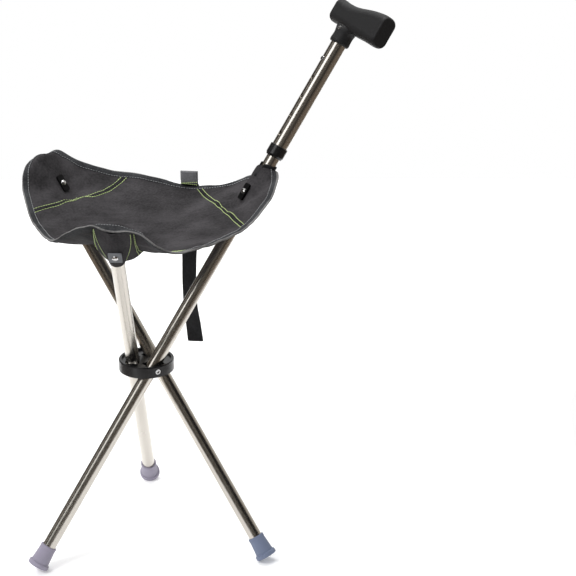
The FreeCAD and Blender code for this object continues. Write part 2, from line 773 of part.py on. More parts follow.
def strap_line():
    """The strap's inner face, as (out, height): down its tab, over the seat's edge and straight down."""
    out, aside = strap_frame()

    def above_cloth(distance):
        heights = []
        for shift in (-0.5, 0.0, 0.5):
            place = out * distance - aside * (size("strap_shift") + shift * size("strap_width"))
            heights.append(seat_top(place.x, place.y))
        return max(heights) + size("layer_gap") * 3

    sides = [aside * -(size("strap_shift") + shift * size("strap_width")) for shift in (-0.5, 0.5)]
    rim = max(rim_along(out, side) for side in sides)
    root = rim - size("strap_root")
    stations = [root + share * (rim - 1 - root) for share in (0.0, 0.33, 0.67, 1.0)]
    over = [(distance, above_cloth(distance)) for distance in stations]
    brow = above_cloth(stations[-1])
    tab = [(root, brow + size("tab_rise"))]
    return tab + over + [(rim + 1.5, brow - 1.5), (rim + 2.5, brow - 6), (rim + 3, brow - size("strap_drop"))]


def strap_shape():
    """Flat webbing of one thickness along strap_line, standing off to its outer side."""
    out, aside = strap_frame()
    line = strap_line()
    normals = []
    for (d0, z0), (d1, z1) in zip(line, line[1:]):
        length = math.hypot(d1 - d0, z1 - z0)
        normals.append((-(z1 - z0) / length, (d1 - d0) / length))
    outer = []
    for n, (d, z) in enumerate(line):
        before, after = normals[max(n - 1, 0)], normals[min(n, len(normals) - 1)]
        mean = (before[0] + after[0], before[1] + after[1])
        scale = 2 * size("strap_thickness") / (mean[0] ** 2 + mean[1] ** 2)
        outer.append((d + mean[0] * scale, z + mean[1] * scale))
    start = aside * -(size("strap_shift") + size("strap_width") / 2)
    ring = [start + out * d + Z_AXIS * z for d, z in line + outer[::-1]]
    face = Part.Face(Part.makePolygon(ring + ring[:1]))
    return face.extrude(aside * size("strap_width"))


def hook_patch_shape():
    """Rough hook tape sewn on the inner face of the strap's free end."""
    out, aside = strap_frame()
    distance, foot = strap_line()[-1]
    thickness = size("hook_thickness")
    tape = Part.makeBox(thickness, size("strap_width") - 2, size("hook_length"), Vector(-thickness, 0, 0))
    turn = math.degrees(math.atan2(out.y, out.x))
    place = out * (distance - 0.5) - aside * (size("strap_shift") + size("strap_width") / 2 - 1)
    tape.Placement = Placement(place + Z_AXIS * (foot + 4), Rotation(Z_AXIS, turn))
    return tape


def feature(name, shape):
    thing = doc.addObject("Part::Feature", name)
    thing.Shape = shape
    return thing


def build():
    numbers = range(len(LEGS))
    keep(hub_block(), "hub_block")
    keep(group("bolts", [pivot_bolt(n) for n in numbers]), "pivot_bolts")
    keep(group("bushes", [pivot_bush(n) for n in numbers]), "pivot_bushes")
    keep(group("inserts", [pivot_insert(n) for n in numbers]), "pivot_inserts")
    for number, leg in enumerate(LEGS):
        frame = leg_frame(number)
        top = "Dims.cane_tube_top" if leg == "cane" else "Dims.leg_top_reach"
        keep(leg_tube(leg, top), f"{leg}_tube", frame)
        keep(ferrule(leg), f"{leg}_ferrule", frame)
        washer = ferrule_washer(leg)
        doc.recompute()
        placed = washer.Placement.Base
        washer.setExpression("Placement.Base.z", None)
        keep(washer, f"{leg}_ferrule_washer", frame * Placement(placed, Rotation()))
        if leg != "cane":
            keep(end_cap(leg), f"{leg}_cap", frame)
        rivet, place = seat_rivet(leg)
        keep(rivet, f"{leg}_seat_rivet", frame * place)
        tab = plate(
            f"{leg}_tab", "Dims.tab_width", "Dims.tab_length", "Dims.tab_thickness", TAB_IN, 3.0, -1
        )
        keep(tab, f"{leg}_seat_tab", frame)
        patch = plate(
            f"{leg}_patch", "Dims.patch_width", "Dims.patch_length", "Dims.patch_thickness", PATCH_IN, 1.5, 1
        )
        keep(patch, f"{leg}_corner_patch", frame)
        keep(corner_pocket(leg), f"{leg}_corner_pocket", frame)
    cane = leg_frame(0)
    keep(upper_tube(), "upper_tube", cane)
    keep(collar(), "collar", cane)
    keep(snap_clip(), "snap_clip", cane)
    keep(feature("grip", grip_shape()), "handle_grip", cane)
    screw, place = grip_screw()
    keep(screw, "handle_screw", cane * place)
    keep(feature("cloth", seat_cloth_shape()), "seat_cloth", Placement())
    keep(feature("strap", strap_shape()), "tie_strap", Placement())
    patch = feature("hook", hook_patch_shape())
    keep(patch, "hook_patch", patch.Placement)


def stand_on_floor():
    """Moves every sub-part so that the origin is on the floor, under the middle of the whole object's box."""
    box = FreeCAD.BoundBox()
    for thing in kept:
        box.add(thing.Shape.optimalBoundingBox(False, False))
    shift = Vector(-box.Center.x, -box.Center.y, -box.ZMin)
    for thing in kept:
        thing.Placement = Placement(shift, Rotation()) * thing.Placement
    doc.recompute()


def check():
    for thing in doc.Objects:
        if "Invalid" in thing.State or "Error" in thing.State:
            raise RuntimeError(f"{thing.Label} is {thing.State}")
    for thing in kept:
        if thing.Shape.isNull() or not thing.Shape.isValid() or not thing.Shape.Solids:
            raise RuntimeError(f"{thing.Label} has no sound shape")


build()
doc.recompute()
stand_on_floor()
check()
os.makedirs("parts", exist_ok=True)
for thing in kept:
    thing.Shape.exportStep(f"parts/{thing.Label}.step")
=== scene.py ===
"""Walking stick seat: a tripod cane stool with a canvas seat, dressed round its CAD frame."""

import math

import bmesh
import bpy
import numpy as np
from mathutils import Matrix, Vector, noise


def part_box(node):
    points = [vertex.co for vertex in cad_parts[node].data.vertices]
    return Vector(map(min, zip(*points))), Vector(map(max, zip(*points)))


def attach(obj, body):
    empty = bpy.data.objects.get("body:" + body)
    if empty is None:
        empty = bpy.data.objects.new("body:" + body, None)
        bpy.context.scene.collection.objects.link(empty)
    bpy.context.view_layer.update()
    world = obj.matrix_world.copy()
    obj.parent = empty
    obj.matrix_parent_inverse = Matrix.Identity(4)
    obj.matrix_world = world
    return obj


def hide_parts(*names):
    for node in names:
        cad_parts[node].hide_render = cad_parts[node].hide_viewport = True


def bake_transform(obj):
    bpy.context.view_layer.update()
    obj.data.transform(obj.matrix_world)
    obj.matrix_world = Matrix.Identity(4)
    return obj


scene = bpy.context.scene
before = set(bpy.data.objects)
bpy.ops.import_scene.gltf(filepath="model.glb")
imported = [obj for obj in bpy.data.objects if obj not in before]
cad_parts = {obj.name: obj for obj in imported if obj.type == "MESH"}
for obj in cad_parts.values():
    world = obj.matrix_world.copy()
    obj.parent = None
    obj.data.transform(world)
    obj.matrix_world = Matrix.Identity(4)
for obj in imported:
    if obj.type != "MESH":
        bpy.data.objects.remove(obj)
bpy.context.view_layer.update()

# Lengths are in millimetres about the hub's centre, and place() turns them into metres in the row
# frame. "Along" is out from the middle over a leg, "reach" is up a tube from its pivot.
MM = 0.001
low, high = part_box("hub_block")
HUB = (low + high) / 2

# The legs, in turn about the hub, each named by the seat corner that it carries.
LEGS = ("cane", "rear", "front")
CANE = 0
HALF_THIRD = math.pi / 3
FOLD = math.radians(35)
PIN_OFFSET = 19
TUBE_R = 9.5
LEG_TOP = 322
UPWARDS = np.array((0, 0, 1))

# Seat in plan: an arc round each tip, then from shoulder to shoulder an arc that bulges a little.
TIP_REACH = 197
SHOULDER_REACH = 167
SHOULDER_HALF = 60
EDGE_BULGE = 6.5

# The bowl: its lowest height, and the power by which it rises to the hem.
SEAT_LOW = 205
BOWL_POWER = 3

# Hem heights at the corners and at the middle of the edge after each corner. The hem comes down
# over so many degrees before and after a corner, and a larger shape makes a squarer shoulder.
CORNER_HEMS = (272, 273, 279)
EDGE_HEMS = (217.5, 210, 213)
SPREAD_BEFORE = (23, 28, 32)
SPREAD_AFTER = (17, 21, 17.2)
SHAPE_BEFORE = 1.9
SHAPE_AFTER = (1.9, 1.9, 2.4)
# How much of the fall after each corner is slower, and the degrees that it takes.
LONG_FALL = (0, 0, 12)
LONG_SPREAD = 40
# The far edge lifts on its way to the rear corner: degrees past the cane corner, spread, height.
FAR_RISE = (70.9, 18, 12)

# The cloth, its gap from a tube, the share of its thickness that is modelled, and the groove that
# it makes along each tube.
CLOTH = 2.0
CLOTH_GAP = 0.8
UNDER_SHARE = 0.7
GROOVE_DEPTH, GROOVE_START, GROOVE_RUN, GROOVE_HALF = 13, 105, 30, 15
# Crowns over the tubes' ends: height, fall to either side, and curve along the leg with its top.
# The eases round off where a crown meets the tube's line and where both meet the bowl.
CROWNS = (271, 276, 276)
CROWN_FALLS = (0.028, 0.0128, 0.0128)
CROWN_CURVE = 0.03
CROWN_ALONG = LEG_TOP * math.sin(FOLD) - 8
CROWN_EASE, SEAT_EASE = 2.0, 2.5

# Unevenness of the cloth: swells as (height, size, layer), and creases as (height, length, width,
# layer) with the way that they run. The layer picks a slice of the noise.
SWELLS = ((1.8, 55, 0.3), (0.7, 19, 4.1))
CREASE = (1.5, 90, 13, 2.2)
CREASE_WAY = (0.93, -0.37)
# Folds that spread from each rivet: where it is along the leg, how high, how many, how far.
RIVET_ALONG = 150
PULL_HEIGHT, PULL_FOLDS, PULL_START, PULL_RUN, PULL_SPREAD = 1.9, 9, 12, 14, 46
# The cloth lies smooth along the tubes.
CALM_START, CALM_RUN, CALM_HALF, CALM_BACK = 85, 30, 17, 0.6
# Ripple along the hem, and puckers of the hem as (degrees, spread in degrees, height).
RIPPLE_HEIGHT, RIPPLE_WAVES, RIPPLE_DEEP = 0.45, (23, 7), 14
PUCKERS = ((103.5, 3.6, 7), (110.5, 2.8, -3.5), (5, 3.5, -6))
PUCKER_DEEP = 20
# Bags and humps that use has worn into the seat: place, spread and height.
WORN_SHAPE = ((-28, -86, 30, -8), (-105, -18, 28, -6), (-44, 98, 20, 7))

# Points along a corner's part of the edge, and along a seam.
OUTLINE_POINTS, SEAM_POINTS = 161, 160
# The cloth between two mid-edges is longer than the line between them, because it sags.
# Points in one third of the seat, outwards and round, and how they crowd towards the hem.
THIRD_ROWS, THIRD_COLUMNS, THIRD_CROWD = 73, 97, 0.9
# Opening that the stick comes up through.
STICK_HOLE = 10.3

# Folded hem, as (inset, lift) round its section, with the corners whose faces carry a painted
# highlight.
HEM_INSET = 1
HEM_MIDDLE = 4
HEM_SECTION = ((8.8, 0.1), (8.3, 0.8), (0.5, 0.9), (-0.6, 0.3), (-0.9, -0.7), (-0.6, -1.6),
               (0.5, -2.2), (8.3, -2.1), (8.8, -1.5))
PAINTED_HIGHLIGHT_CORNERS = (2, 3, 4)
HEM_STITCH_INSET, HEM_STITCH_LIFT = 7.8, 0.85

# Seams across the corners: how far from the middle each runs, and how much it swings out beyond
# the tube, then the width between its two rows of stitches.
SEAMS = ((113, 0.0), (107, 0.27), (112, 0.0))
SEAM_APART = 6.5
SEAM_HALF = 120
SEAM_SWING_FROM, SEAM_SWING_EASE = -26, 6
SEAM_END_INSET = 3
SEAM_THICK = 0.4

# Stitches as (length, gap, thickness).
HEM_STITCH = (2.8, 1.0, 0.4)
SEAM_STITCH = (3.4, 0.7, 0.62)
POCKET_STITCH = (3.2, 0.8, 0.5)
TACK_STITCH = (2.4, 0.6, 0.5)

# Pocket under each corner: half-width at the tip in degrees, its mouth on the tube, how far in
# from the edge and under the seat its top is, and how much its front swells and its walls sag.
POCKET_HALF = 7
POCKET_MOUTH = 256
POCKET_R = 9.95
POCKET_WRAP = math.radians(88)
POCKET_CLOTH = 1.2
POCKET_INSET, POCKET_UNDER, WALL_UNDER = 1.2, 1.6, 1.5
POCKET_SWELL, POCKET_SAG = 3.5, 3
# Where its side seams end under the seat: distance along the corner and to either side of it.
SIDE_SEAM_END = 112
SIDE_SEAMS = (-40, 23)
# Points across its front, down it and across a wall, and the millimetres of weave between them.
POCKET_ACROSS, POCKET_DOWN, WALL_COLUMNS = 33, 25, 13
POCKET_LAY = (1.6, 2.6)
# Rows of stitches on it: name, column of the pocket's grid, row that it starts from.
POCKET_ROWS = (("a", 12, 1), ("b", 44, 1), ("c", 55, 3), ("d", 53, 3), ("e", 1, 3), ("f", 3, 3))

# Band round the stick over the seat: its highest reach, and how far it goes below and above the
# cloth, with a narrower lip. The lay is the millimetres of weave between its points.
BAND_THICK, BAND_LIP = 1.5, 0.3
BAND_TOP, BAND_LEAST = 336, 3
BAND_BELOW, BAND_SIDE, BAND_ABOVE = -1.2, 4.2, 4.7
BAND_CORNERS = 48
BAND_LAY = (1.4, 2)

# Spring clip in the stick: half the gap between its leaves, the reach of its bend's centre and of
# its two ends, the strip's width and steel, and the button with its (radius, x) profile.
CLIP_HALF = 6.6
CLIP_BEND = 468.4
CLIP_ENDS = (503.0, 499.0)
CLIP_WIDTH, CLIP_STEEL = 6, 0.8
BUTTON_REACH = 495
BUTTON_PROFILE = ((0.05, -6.6), (3.2, -6.6), (3.2, -12.2), (3.05, -12.65), (2.6, -12.95),
                  (0.05, -13.0))
BUTTON_CORNERS = 32

# Tie strap: its line is STRAP_SHIFT to the side of the edge's middle. Its way is given as
# (outwards from the rim, up from the brow, sideways, twist), from the tab's top to the tail's end.
STRAP_WIDTH = 25
STRAP_THICK = 1.4
STRAP_SHIFT = 43
STRAP_BROW = 2.6
STRAP_WAY = ((-7, 22, 0, 0), (-6.6, 12, 0, 0), (-6.4, 4, 0, 0), (-5, 1.2, 0, 0), (-1, 0.8, 0, 0),
             (2.2, -1.6, 0, 0), (3.2, -7, 0, 0), (3.4, -30, 0, 0.1), (2.2, -70, -2, 0.25),
             (1.0, -110, -4, 0.4), (0.6, -150, -5, 0.45), (1.4, -190, -4, 0.4),
             (3.0, -215, -1, 0.3), (3.6, -246, 2, 0.2))
STRAP_POINTS, STRAP_SMOOTHINGS = 140, 3
# The hook tape under the tail's end and the second layer of the tab, as parts of those points.
HOOK_PART, HOOK_GAP, HOOK_THICK, HOOK_NARROWER = slice(-28, -2), 1.2, 1.1, 2
TAB_PART, TAB_GAP, TAB_THICK = slice(11), 1.5, 1.2
# Bar tacks on the tab: height over the brow and slant, and how far they are in from the rim.
TACKS = ((3.0, 2.0), (5.0, -2.0))
TACK_IN = 9.7


# Places


def place(x, y, z):
    return Vector((HUB.x + x * MM, HUB.y + y * MM, HUB.z + z * MM))


def place_all(points):
    return np.array(points, float) * MM + np.array(HUB)


def leg_axes(number):
    """The way a leg leans and the way its bolt points, both level."""
    turn = math.radians(120 * number)
    return np.array((math.cos(turn), math.sin(turn))), np.array((math.sin(turn), -math.cos(turn)))


def leg_point(number, points):
    """Points about the hub, written in a leg's own frame as (x, y, reach)."""
    lean, out = leg_axes(number)
    level = points[..., 0] * lean[0] + points[..., 1] * lean[1]
    aside = points[..., 0] * out[0] + points[..., 1] * out[1]
    height = points[..., 2]
    x = level * math.cos(FOLD) - height * math.sin(FOLD)
    reach = level * math.sin(FOLD) + height * math.cos(FOLD)
    return np.stack((x, PIN_OFFSET - aside, reach), -1)


def from_leg(number, points):
    """Points of a leg's own frame, written about the hub."""
    lean, out = leg_axes(number)
    level = points[..., 0] * math.cos(FOLD) + points[..., 2] * math.sin(FOLD)
    height = points[..., 2] * math.cos(FOLD) - points[..., 0] * math.sin(FOLD)
    aside = PIN_OFFSET - points[..., 1]
    plan = level[..., None] * lean + aside[..., None] * out
    return np.concatenate((plan, height[..., None]), -1)


def corner_turn(number):
    """Angle of a seat corner about the hub."""
    lean = LEG_TOP * math.sin(FOLD)
    return math.radians(120 * number) - math.atan2(PIN_OFFSET, lean)


def corner_axes(number):
    """Towards a seat corner and across it, both level."""
    turn = corner_turn(number)
    return np.array((math.cos(turn), math.sin(turn))), np.array((-math.sin(turn), math.cos(turn)))


def unit(ways):
    return ways / np.linalg.norm(ways, axis=-1, keepdims=True)


# Seat surface


def soft_max(first, second, spread):
    rounding = spread * np.log1p(np.exp(-np.abs(first - second) / spread))
    return np.maximum(first, second) + rounding


def smooth_step(share):
    share = np.clip(share, 0, 1)
    return share * share * (3 - 2 * share)


def outline_reach(turn):
    """Distance of the seat's outline from the hub's axis at an angle about it."""
    off = np.mod(turn - corner_turn(CANE), math.tau / 3)
    off = np.minimum(off, math.tau / 3 - off)
    past_shoulder = TIP_REACH - SHOULDER_REACH
    tip_radius = (SHOULDER_HALF**2 + past_shoulder**2) / (2 * past_shoulder)
    third = math.radians(60)
    half_chord = SHOULDER_REACH * math.sin(third) - SHOULDER_HALF * math.cos(third)
    edge_radius = (half_chord**2 + EDGE_BULGE**2) / (2 * EDGE_BULGE)
    edge_middle = SHOULDER_REACH * math.cos(third) + SHOULDER_HALF * math.sin(third)
    edge_centre = edge_middle + EDGE_BULGE - edge_radius
    at_tip = off < math.atan2(SHOULDER_HALF, SHOULDER_REACH)
    radius = np.where(at_tip, tip_radius, edge_radius)
    centre = np.where(at_tip, TIP_REACH - tip_radius, edge_centre)
    along = centre * np.cos(np.where(at_tip, off, third - off))
    return along + np.sqrt(radius**2 - centre**2 + along**2)


def hem_height(turn):
    """Height of the seat's edge at an angle about the hub."""
    past = np.degrees(np.mod(turn - corner_turn(CANE), math.tau))
    number = (past // 120).astype(int) % 3
    onward = (number + 1) % 3
    off, left = past % 120, 120 - past % 120
    edge = np.array(EDGE_HEMS)[number]
    ease = (off / np.array(SPREAD_AFTER)[number]) ** np.array(SHAPE_AFTER)[number]
    slow = np.array(LONG_FALL)[number]
    fall = (np.array(CORNER_HEMS)[number] - edge - slow) * np.exp(-ease)
    fall = fall + slow * np.exp(-((off / LONG_SPREAD) ** 2))
    middle, spread, rise = FAR_RISE
    fall = fall + np.where(number == CANE, rise * np.exp(-(((off - middle) / spread) ** 2)), 0)
    ease = (left / np.array(SPREAD_BEFORE)[onward]) ** SHAPE_BEFORE
    return edge + fall + (np.array(CORNER_HEMS)[onward] - edge) * np.exp(-ease)


def about_leg(number, x, y):
    """Plan points as distance along a leg's lean and distance across its tube."""
    lean, out = leg_axes(number)
    return x * lean[0] + y * lean[1], x * out[0] + y * out[1] - PIN_OFFSET


def seat_height(x, y):
    """A bowl up to the hem, grooved to lie along each tube and crowned over the tube's end."""
    turn = np.arctan2(y, x)
    share = np.hypot(x, y) / outline_reach(turn)
    height = SEAT_LOW + (hem_height(turn) - SEAT_LOW) * share**BOWL_POWER
    sheets = []
    for number in range(3):
        along, across = about_leg(number, x, y)
        groove = GROOVE_DEPTH * smooth_step((along - GROOVE_START) / GROOVE_RUN)
        height = height - groove * np.exp(-((across / GROOVE_HALF) ** 2) / 2)
        slope = along / math.tan(FOLD) + (TUBE_R + CLOTH_GAP) / math.sin(FOLD) + CLOTH
        crown = CROWNS[number] - CROWN_CURVE * (along - CROWN_ALONG) ** 2
        top = -soft_max(-slope, -crown, CROWN_EASE)
        sheets.append(top - CROWN_FALLS[number] * across**2)
    for sheet in sheets:
        height = soft_max(height, sheet, SEAT_EASE)
    return height


def unevenness(x, y):
    """Swells and creases of worn canvas."""
    rise, length, width, layer = CREASE
    uneven = []
    for a, b in zip(x.ravel(), y.ravel()):
        swell = sum(h * noise.noise(Vector((a / s, b / s, part))) for h, s, part in SWELLS)
        along = a * CREASE_WAY[0] + b * CREASE_WAY[1]
        across = b * CREASE_WAY[0] - a * CREASE_WAY[1]
        crease = abs(noise.noise(Vector((along / length, across / width, layer))))
        uneven.append(swell + rise * crease)
    return np.array(uneven).reshape(x.shape)


def surface(x, y):
    """Seat height with the folds, creases and puckers of worn canvas."""
    x, y = np.asarray(x, float), np.asarray(y, float)
    height = seat_height(x, y)
    uneven = unevenness(x, y)
    calm = np.ones_like(height)
    for number in range(3):
        along, across = about_leg(number, x, y)
        away = np.hypot(np.minimum(along - RIVET_ALONG, 0) * CALM_BACK, across)
        pull = np.cos(np.arctan2(across, RIVET_ALONG - along) * PULL_FOLDS + number)
        near = np.hypot(along - RIVET_ALONG, across)
        start = smooth_step((near - PULL_START) / PULL_RUN)
        uneven = uneven + PULL_HEIGHT * pull * start * np.exp(-((near / PULL_SPREAD) ** 2))
        lies = smooth_step((along - CALM_START) / CALM_RUN) * np.exp(-((away / CALM_HALF) ** 2))
        calm = calm * (1 - lies)
    turn = np.arctan2(y, x)
    inset = outline_reach(turn) - np.hypot(x, y)
    many, few = RIPPLE_WAVES
    ripple = RIPPLE_HEIGHT * np.sin(turn * many) * np.sin(turn * few + 1)
    ripple = ripple * np.exp(-((inset / RIPPLE_DEEP) ** 2))
    off = np.degrees(np.mod(turn, math.tau))
    pucker = sum(rise * np.exp(-(((off - at) / spread) ** 2)) for at, spread, rise in PUCKERS)
    for spot_x, spot_y, spread, rise in WORN_SHAPE:
        away = (x - spot_x) ** 2 + (y - spot_y) ** 2
        height = height + rise * np.exp(-away / (2 * spread**2))
    return height + (uneven + ripple) * calm + pucker * np.exp(-((inset / PUCKER_DEEP) ** 2))


# Materials


def colour(code):
    """sRGB hex to linear RGBA."""
    channels = [int(code[i : i + 2], 16) / 255 for i in (1, 3, 5)]
    linear = [c / 12.92 if c <= 0.04045 else ((c + 0.055) / 1.055) ** 2.4 for c in channels]
    return (*linear, 1.0)


def add(tree, kind, settings):
    """Adds a node. A setting is a socket's value or the output that feeds it, a property of the
    node, or the stops of its ramp."""
    made = tree.nodes.new(kind)
    for key, value in settings.items():
        if key == "stops":
            elements = made.color_ramp.elements
            while len(elements) < len(value):
                elements.new(0.5)
            for element, (where, tint) in zip(elements, value):
                element.position = where
                element.color = tint
        elif isinstance(value, bpy.types.NodeSocket):
            tree.links.new(value, made.inputs[key])
        elif isinstance(key, int) or key in made.inputs:
            made.inputs[key].default_value = value
        else:
            setattr(made, key, value)
    return made


def even_finish(name, base, rough, metal=0.0, specular=0.5):
    """A material, its node tree and its shader, set to one even surface."""
    material = bpy.data.materials.new(name)
    material.use_nodes = True
    shader = material.node_tree.nodes["Principled BSDF"]
    shader.inputs["Base Color"].default_value = colour(base)
    shader.inputs["Roughness"].default_value = rough
    shader.inputs["Metallic"].default_value = metal
    shader.inputs["Specular IOR Level"].default_value = specular
    return material, material.node_tree, shader


def woven(name, dark, light, thread):
    """Matt cloth of crossed threads, so many metres apart, with pale flecks and clouds where use
    has rubbed the high threads."""
    material, tree, shader = even_finish(name, dark, 0.92, specular=0.2)
    laid = add(tree, "ShaderNodeUVMap", {"uv_map": "UVMap"}).outputs["UV"]
    # A wave texture of scale 1 repeats every tau / 20.
    waves = [
        add(tree, "ShaderNodeTexWave",
            {"bands_direction": way, "Scale": math.tau / thread / 20, "Vector": laid})
        for way in ("X", "Y")
    ]
    weave = add(tree, "ShaderNodeMath",
                {"operation": "MAXIMUM", 0: waves[0].outputs["Fac"], 1: waves[1].outputs["Fac"]})
    where = add(tree, "ShaderNodeTexCoord", {}).outputs["Object"]
    # Clouds of wear 45 mm wide, and flecks 3 mm wide.
    cloud = add(tree, "ShaderNodeTexNoise", {"Scale": 1 / 0.045, "Detail": 5, "Vector": where})
    fleck = add(tree, "ShaderNodeTexNoise", {"Scale": 1 / 0.003, "Detail": 2, "Vector": where})
    wear = add(tree, "ShaderNodeMath", {"operation": "MULTIPLY_ADD", 0: fleck.outputs["Fac"],
                                        1: 0.5, 2: cloud.outputs["Fac"]})
    shade = add(tree, "ShaderNodeValToRGB", {"stops": [(0.5, colour(dark)), (0.95, colour(light))],
                                             "Fac": wear.outputs[0]})
    threads = add(tree, "ShaderNodeBump",
                  {"Distance": 0.0003, "Strength": 0.6, "Height": weave.outputs[0]})
    fuzz = add(tree, "ShaderNodeBump",
               {"Distance": 0.0006, "Strength": 0.5, "Height": fleck.outputs["Fac"],
                "Normal": threads.outputs["Normal"]})
    tree.links.new(shade.outputs["Color"], shader.inputs["Base Color"])
    tree.links.new(fuzz.outputs["Normal"], shader.inputs["Normal"])
    return material


def grained(name, base, rough, metal=0.0, grain=None, depth=0.0001, specular=0.5):
    """An even surface. With a grain it has bumps that many metres wide and about depth high."""
    material, tree, shader = even_finish(name, base, rough, metal, specular)
    if grain:
        where = add(tree, "ShaderNodeTexCoord", {}).outputs["Object"]
        bumps = add(tree, "ShaderNodeTexNoise", {"Scale": 1 / grain, "Detail": 3, "Vector": where})
        bump = add(tree, "ShaderNodeBump",
                   {"Distance": depth, "Strength": 0.6, "Height": bumps.outputs["Fac"]})
        tree.links.new(bump.outputs["Normal"], shader.inputs["Normal"])
    return material


def polished_tube(name, base):
    """Drawn tube, buffed bright: mirrors the room, a little duller in smudges 30 mm wide."""
    material, tree, shader = even_finish(name, base, 0.2, 1.0)
    where = add(tree, "ShaderNodeTexCoord", {}).outputs["Object"]
    smudge = add(tree, "ShaderNodeTexNoise", {"Scale": 1 / 0.03, "Detail": 4, "Vector": where})
    stops = [(at, (rough, rough, rough, 1)) for at, rough in ((0.3, 0.23), (0.75, 0.28))]
    rough = add(tree, "ShaderNodeValToRGB", {"stops": stops, "Fac": smudge.outputs["Fac"]})
    tree.links.new(rough.outputs["Color"], shader.inputs["Roughness"])
    return material


# Real canvas has a thread every 0.5 mm and webbing a rib every 0.8 mm. Both are too fine to show in
# the render, so the canvas is drawn with 1.1 mm, its packed hem with 0.9 mm and the webbing with
# 1.4 mm between threads.
CANVAS_THREAD, HEM_THREAD, WEBBING_RIB = 0.0011, 0.0009, 0.0014

# Cotton canvas, plain woven and washed: charcoal, quite matt, cloudy with paler worn places.
CANVAS = woven("woven cotton canvas", "#1f1e1f", "#403e40", CANVAS_THREAD)
# The same canvas, darker: painted shade, for the corner pockets under the seat and the felled
# seams' strips.
PAINTED_SHADE_CANVAS = woven("woven cotton canvas, painted shade", "#18181a", "#2c2b2d", CANVAS_THREAD)
# Canvas folded over for the hem, its threads packed tighter: greyer, because it rubs on things.
HEM = woven("folded cotton canvas hem", "#1b1b1d", "#3f4042", HEM_THREAD)
# The hem's very fold, painted pale as a highlight: a light line round the seat.
PAINTED_HIGHLIGHT_HEM = woven("folded cotton canvas hem, painted highlight", "#4b4a4a", "#868584", HEM_THREAD)
# Polypropylene webbing, ribbed as woven: near black and even.
WEBBING = woven("woven polypropylene webbing", "#19191a", "#2e2e30", WEBBING_RIB)
# The same webbing, paler: mid grey, on the tab's second layer that stands up from the seat's edge.
PALE_WEBBING = woven("woven polypropylene webbing, paler", "#525255", "#7d7d80", WEBBING_RIB)
# Nylon hook tape: a dead black nap. Its 0.3 mm hooks are drawn 0.8 mm wide, so that they show.
HOOK = grained("woven nylon hook tape", "#101011", 0.95, grain=0.0008, depth=0.0006)
# Spun polyester thread: lime on the seams, pale grey on the hem, each stitch a small dash.
GREEN_THREAD = grained("spun polyester thread, lime", "#c6dc92", 0.7)
GREY_THREAD = grained("spun polyester thread, grey", "#a8a9ab", 0.75)
# Nylon injected into a polished mould: black with sharp highlights, and faint sinks 20 mm wide.
HUB_NYLON = grained("injection moulded nylon, glossy", "#141416", 0.26, grain=0.02, depth=0.0002)
# The same nylon from a duller mould, for the clamp collar.
COLLAR_NYLON = grained("injection moulded nylon, satin", "#121213", 0.3)
# Polypropylene from a grained mould: soft broad highlights. The grain, about 0.5 mm in the real
# one, is drawn 1.2 mm wide, so that it shows.
GRIP = grained("moulded grained polypropylene", "#1e1e1f", 0.55, grain=0.0012, depth=0.0003,
               specular=0.3)
# Drawn aluminium, polished and champagne anodised: warm mirror stripes down each tube.
TUBE = polished_tube("polished champagne anodised aluminium", "#c4bfb7")
# Thermoplastic rubber from a matt mould: satin, in two greys. The mould's fine texture is drawn
# 2 mm wide, so that it shows.
LAVENDER_RUBBER = grained("moulded lavender rubber", "#8d8898", 0.6, grain=0.002)
BLUE_RUBBER = grained("moulded blue grey rubber", "#69738a", 0.6, grain=0.002)
# Nickel plate on pressed steel: small bright heads that mirror the room.
NICKEL = grained("nickel plated steel", "#c9c9c9", 0.22, 1.0)
# Rolled spring steel: bright with a soft edge to its reflections.
SPRING_STEEL = grained("rolled spring steel", "#b9babd", 0.28, 1.0)
# Turned brass and turned acetal, inside the hub: yellow metal, and ivory with a soft shine.
BRASS = grained("turned brass", "#b08d4c", 0.3, 1.0)
ACETAL = grained("turned ivory acetal", "#d3cdbd", 0.5)
# Polyethylene sheet cut to a tab: dull black, its fine sheet texture drawn 1.5 mm wide to show.
TAB_SHEET = grained("cut polyethylene sheet", "#0a0a0b", 0.6, grain=0.0015, depth=0.0002,
                    specular=0.12)
# Vulcanised fibre, pressed: mid grey and papery, its fine fibres drawn 1 mm wide to show.
FIBRE = grained("pressed vulcanised fibre", "#6d6f73", 0.75, grain=0.001, depth=0.0002)
# Polyethylene moulded to a plug: black with a weak shine.
CAP_PLASTIC = grained("moulded polyethylene", "#17171a", 0.5)

# Finish of each CAD node, by its name or by its name without the leg's.
FINISHES = {
    "hub_block": HUB_NYLON,
    "pivot_bolts": NICKEL,
    "pivot_bushes": ACETAL,
    "pivot_inserts": BRASS,
    "hook_patch": HOOK,
    "tie_strap": WEBBING,
    "upper_tube": TUBE,
    "collar": COLLAR_NYLON,
    "handle_grip": GRIP,
    "handle_screw": NICKEL,
    "snap_clip": SPRING_STEEL,
    "seat_cloth": CANVAS,
    "tube": TUBE,
    "ferrule": LAVENDER_RUBBER,
    "rear_ferrule": BLUE_RUBBER,
    "ferrule_washer": SPRING_STEEL,
    "seat_rivet": NICKEL,
    "seat_tab": TAB_SHEET,
    "corner_patch": FIBRE,
    # The corner pockets' darker canvas is painted shade.
    "corner_pocket": PAINTED_SHADE_CANVAS,
    "cap": CAP_PLASTIC,
}

for name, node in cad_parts.items():
    kind = name if name in FINISHES else name.split("_", 1)[1]
    node.data.materials.clear()
    node.data.materials.append(FINISHES[kind])


# Meshes


def mesh(name, vertices, faces, material, uvs=None):
    """A mesh from points in millimetres about the hub."""
    data = bpy.data.meshes.new(name)
    data.from_pydata([tuple(p) for p in place_all(vertices)], [], faces)
    data.materials.append(material)
    if uvs is not None:
        layer = data.uv_layers.new(name="UVMap")
        for loop in data.loops:
            layer.data[loop.index].uv = uvs[loop.vertex_index]
    for polygon in data.polygons:
        polygon.use_smooth = True
    data.validate()
    made = bpy.data.objects.new(name, data)
    scene.collection.objects.link(made)
    return made


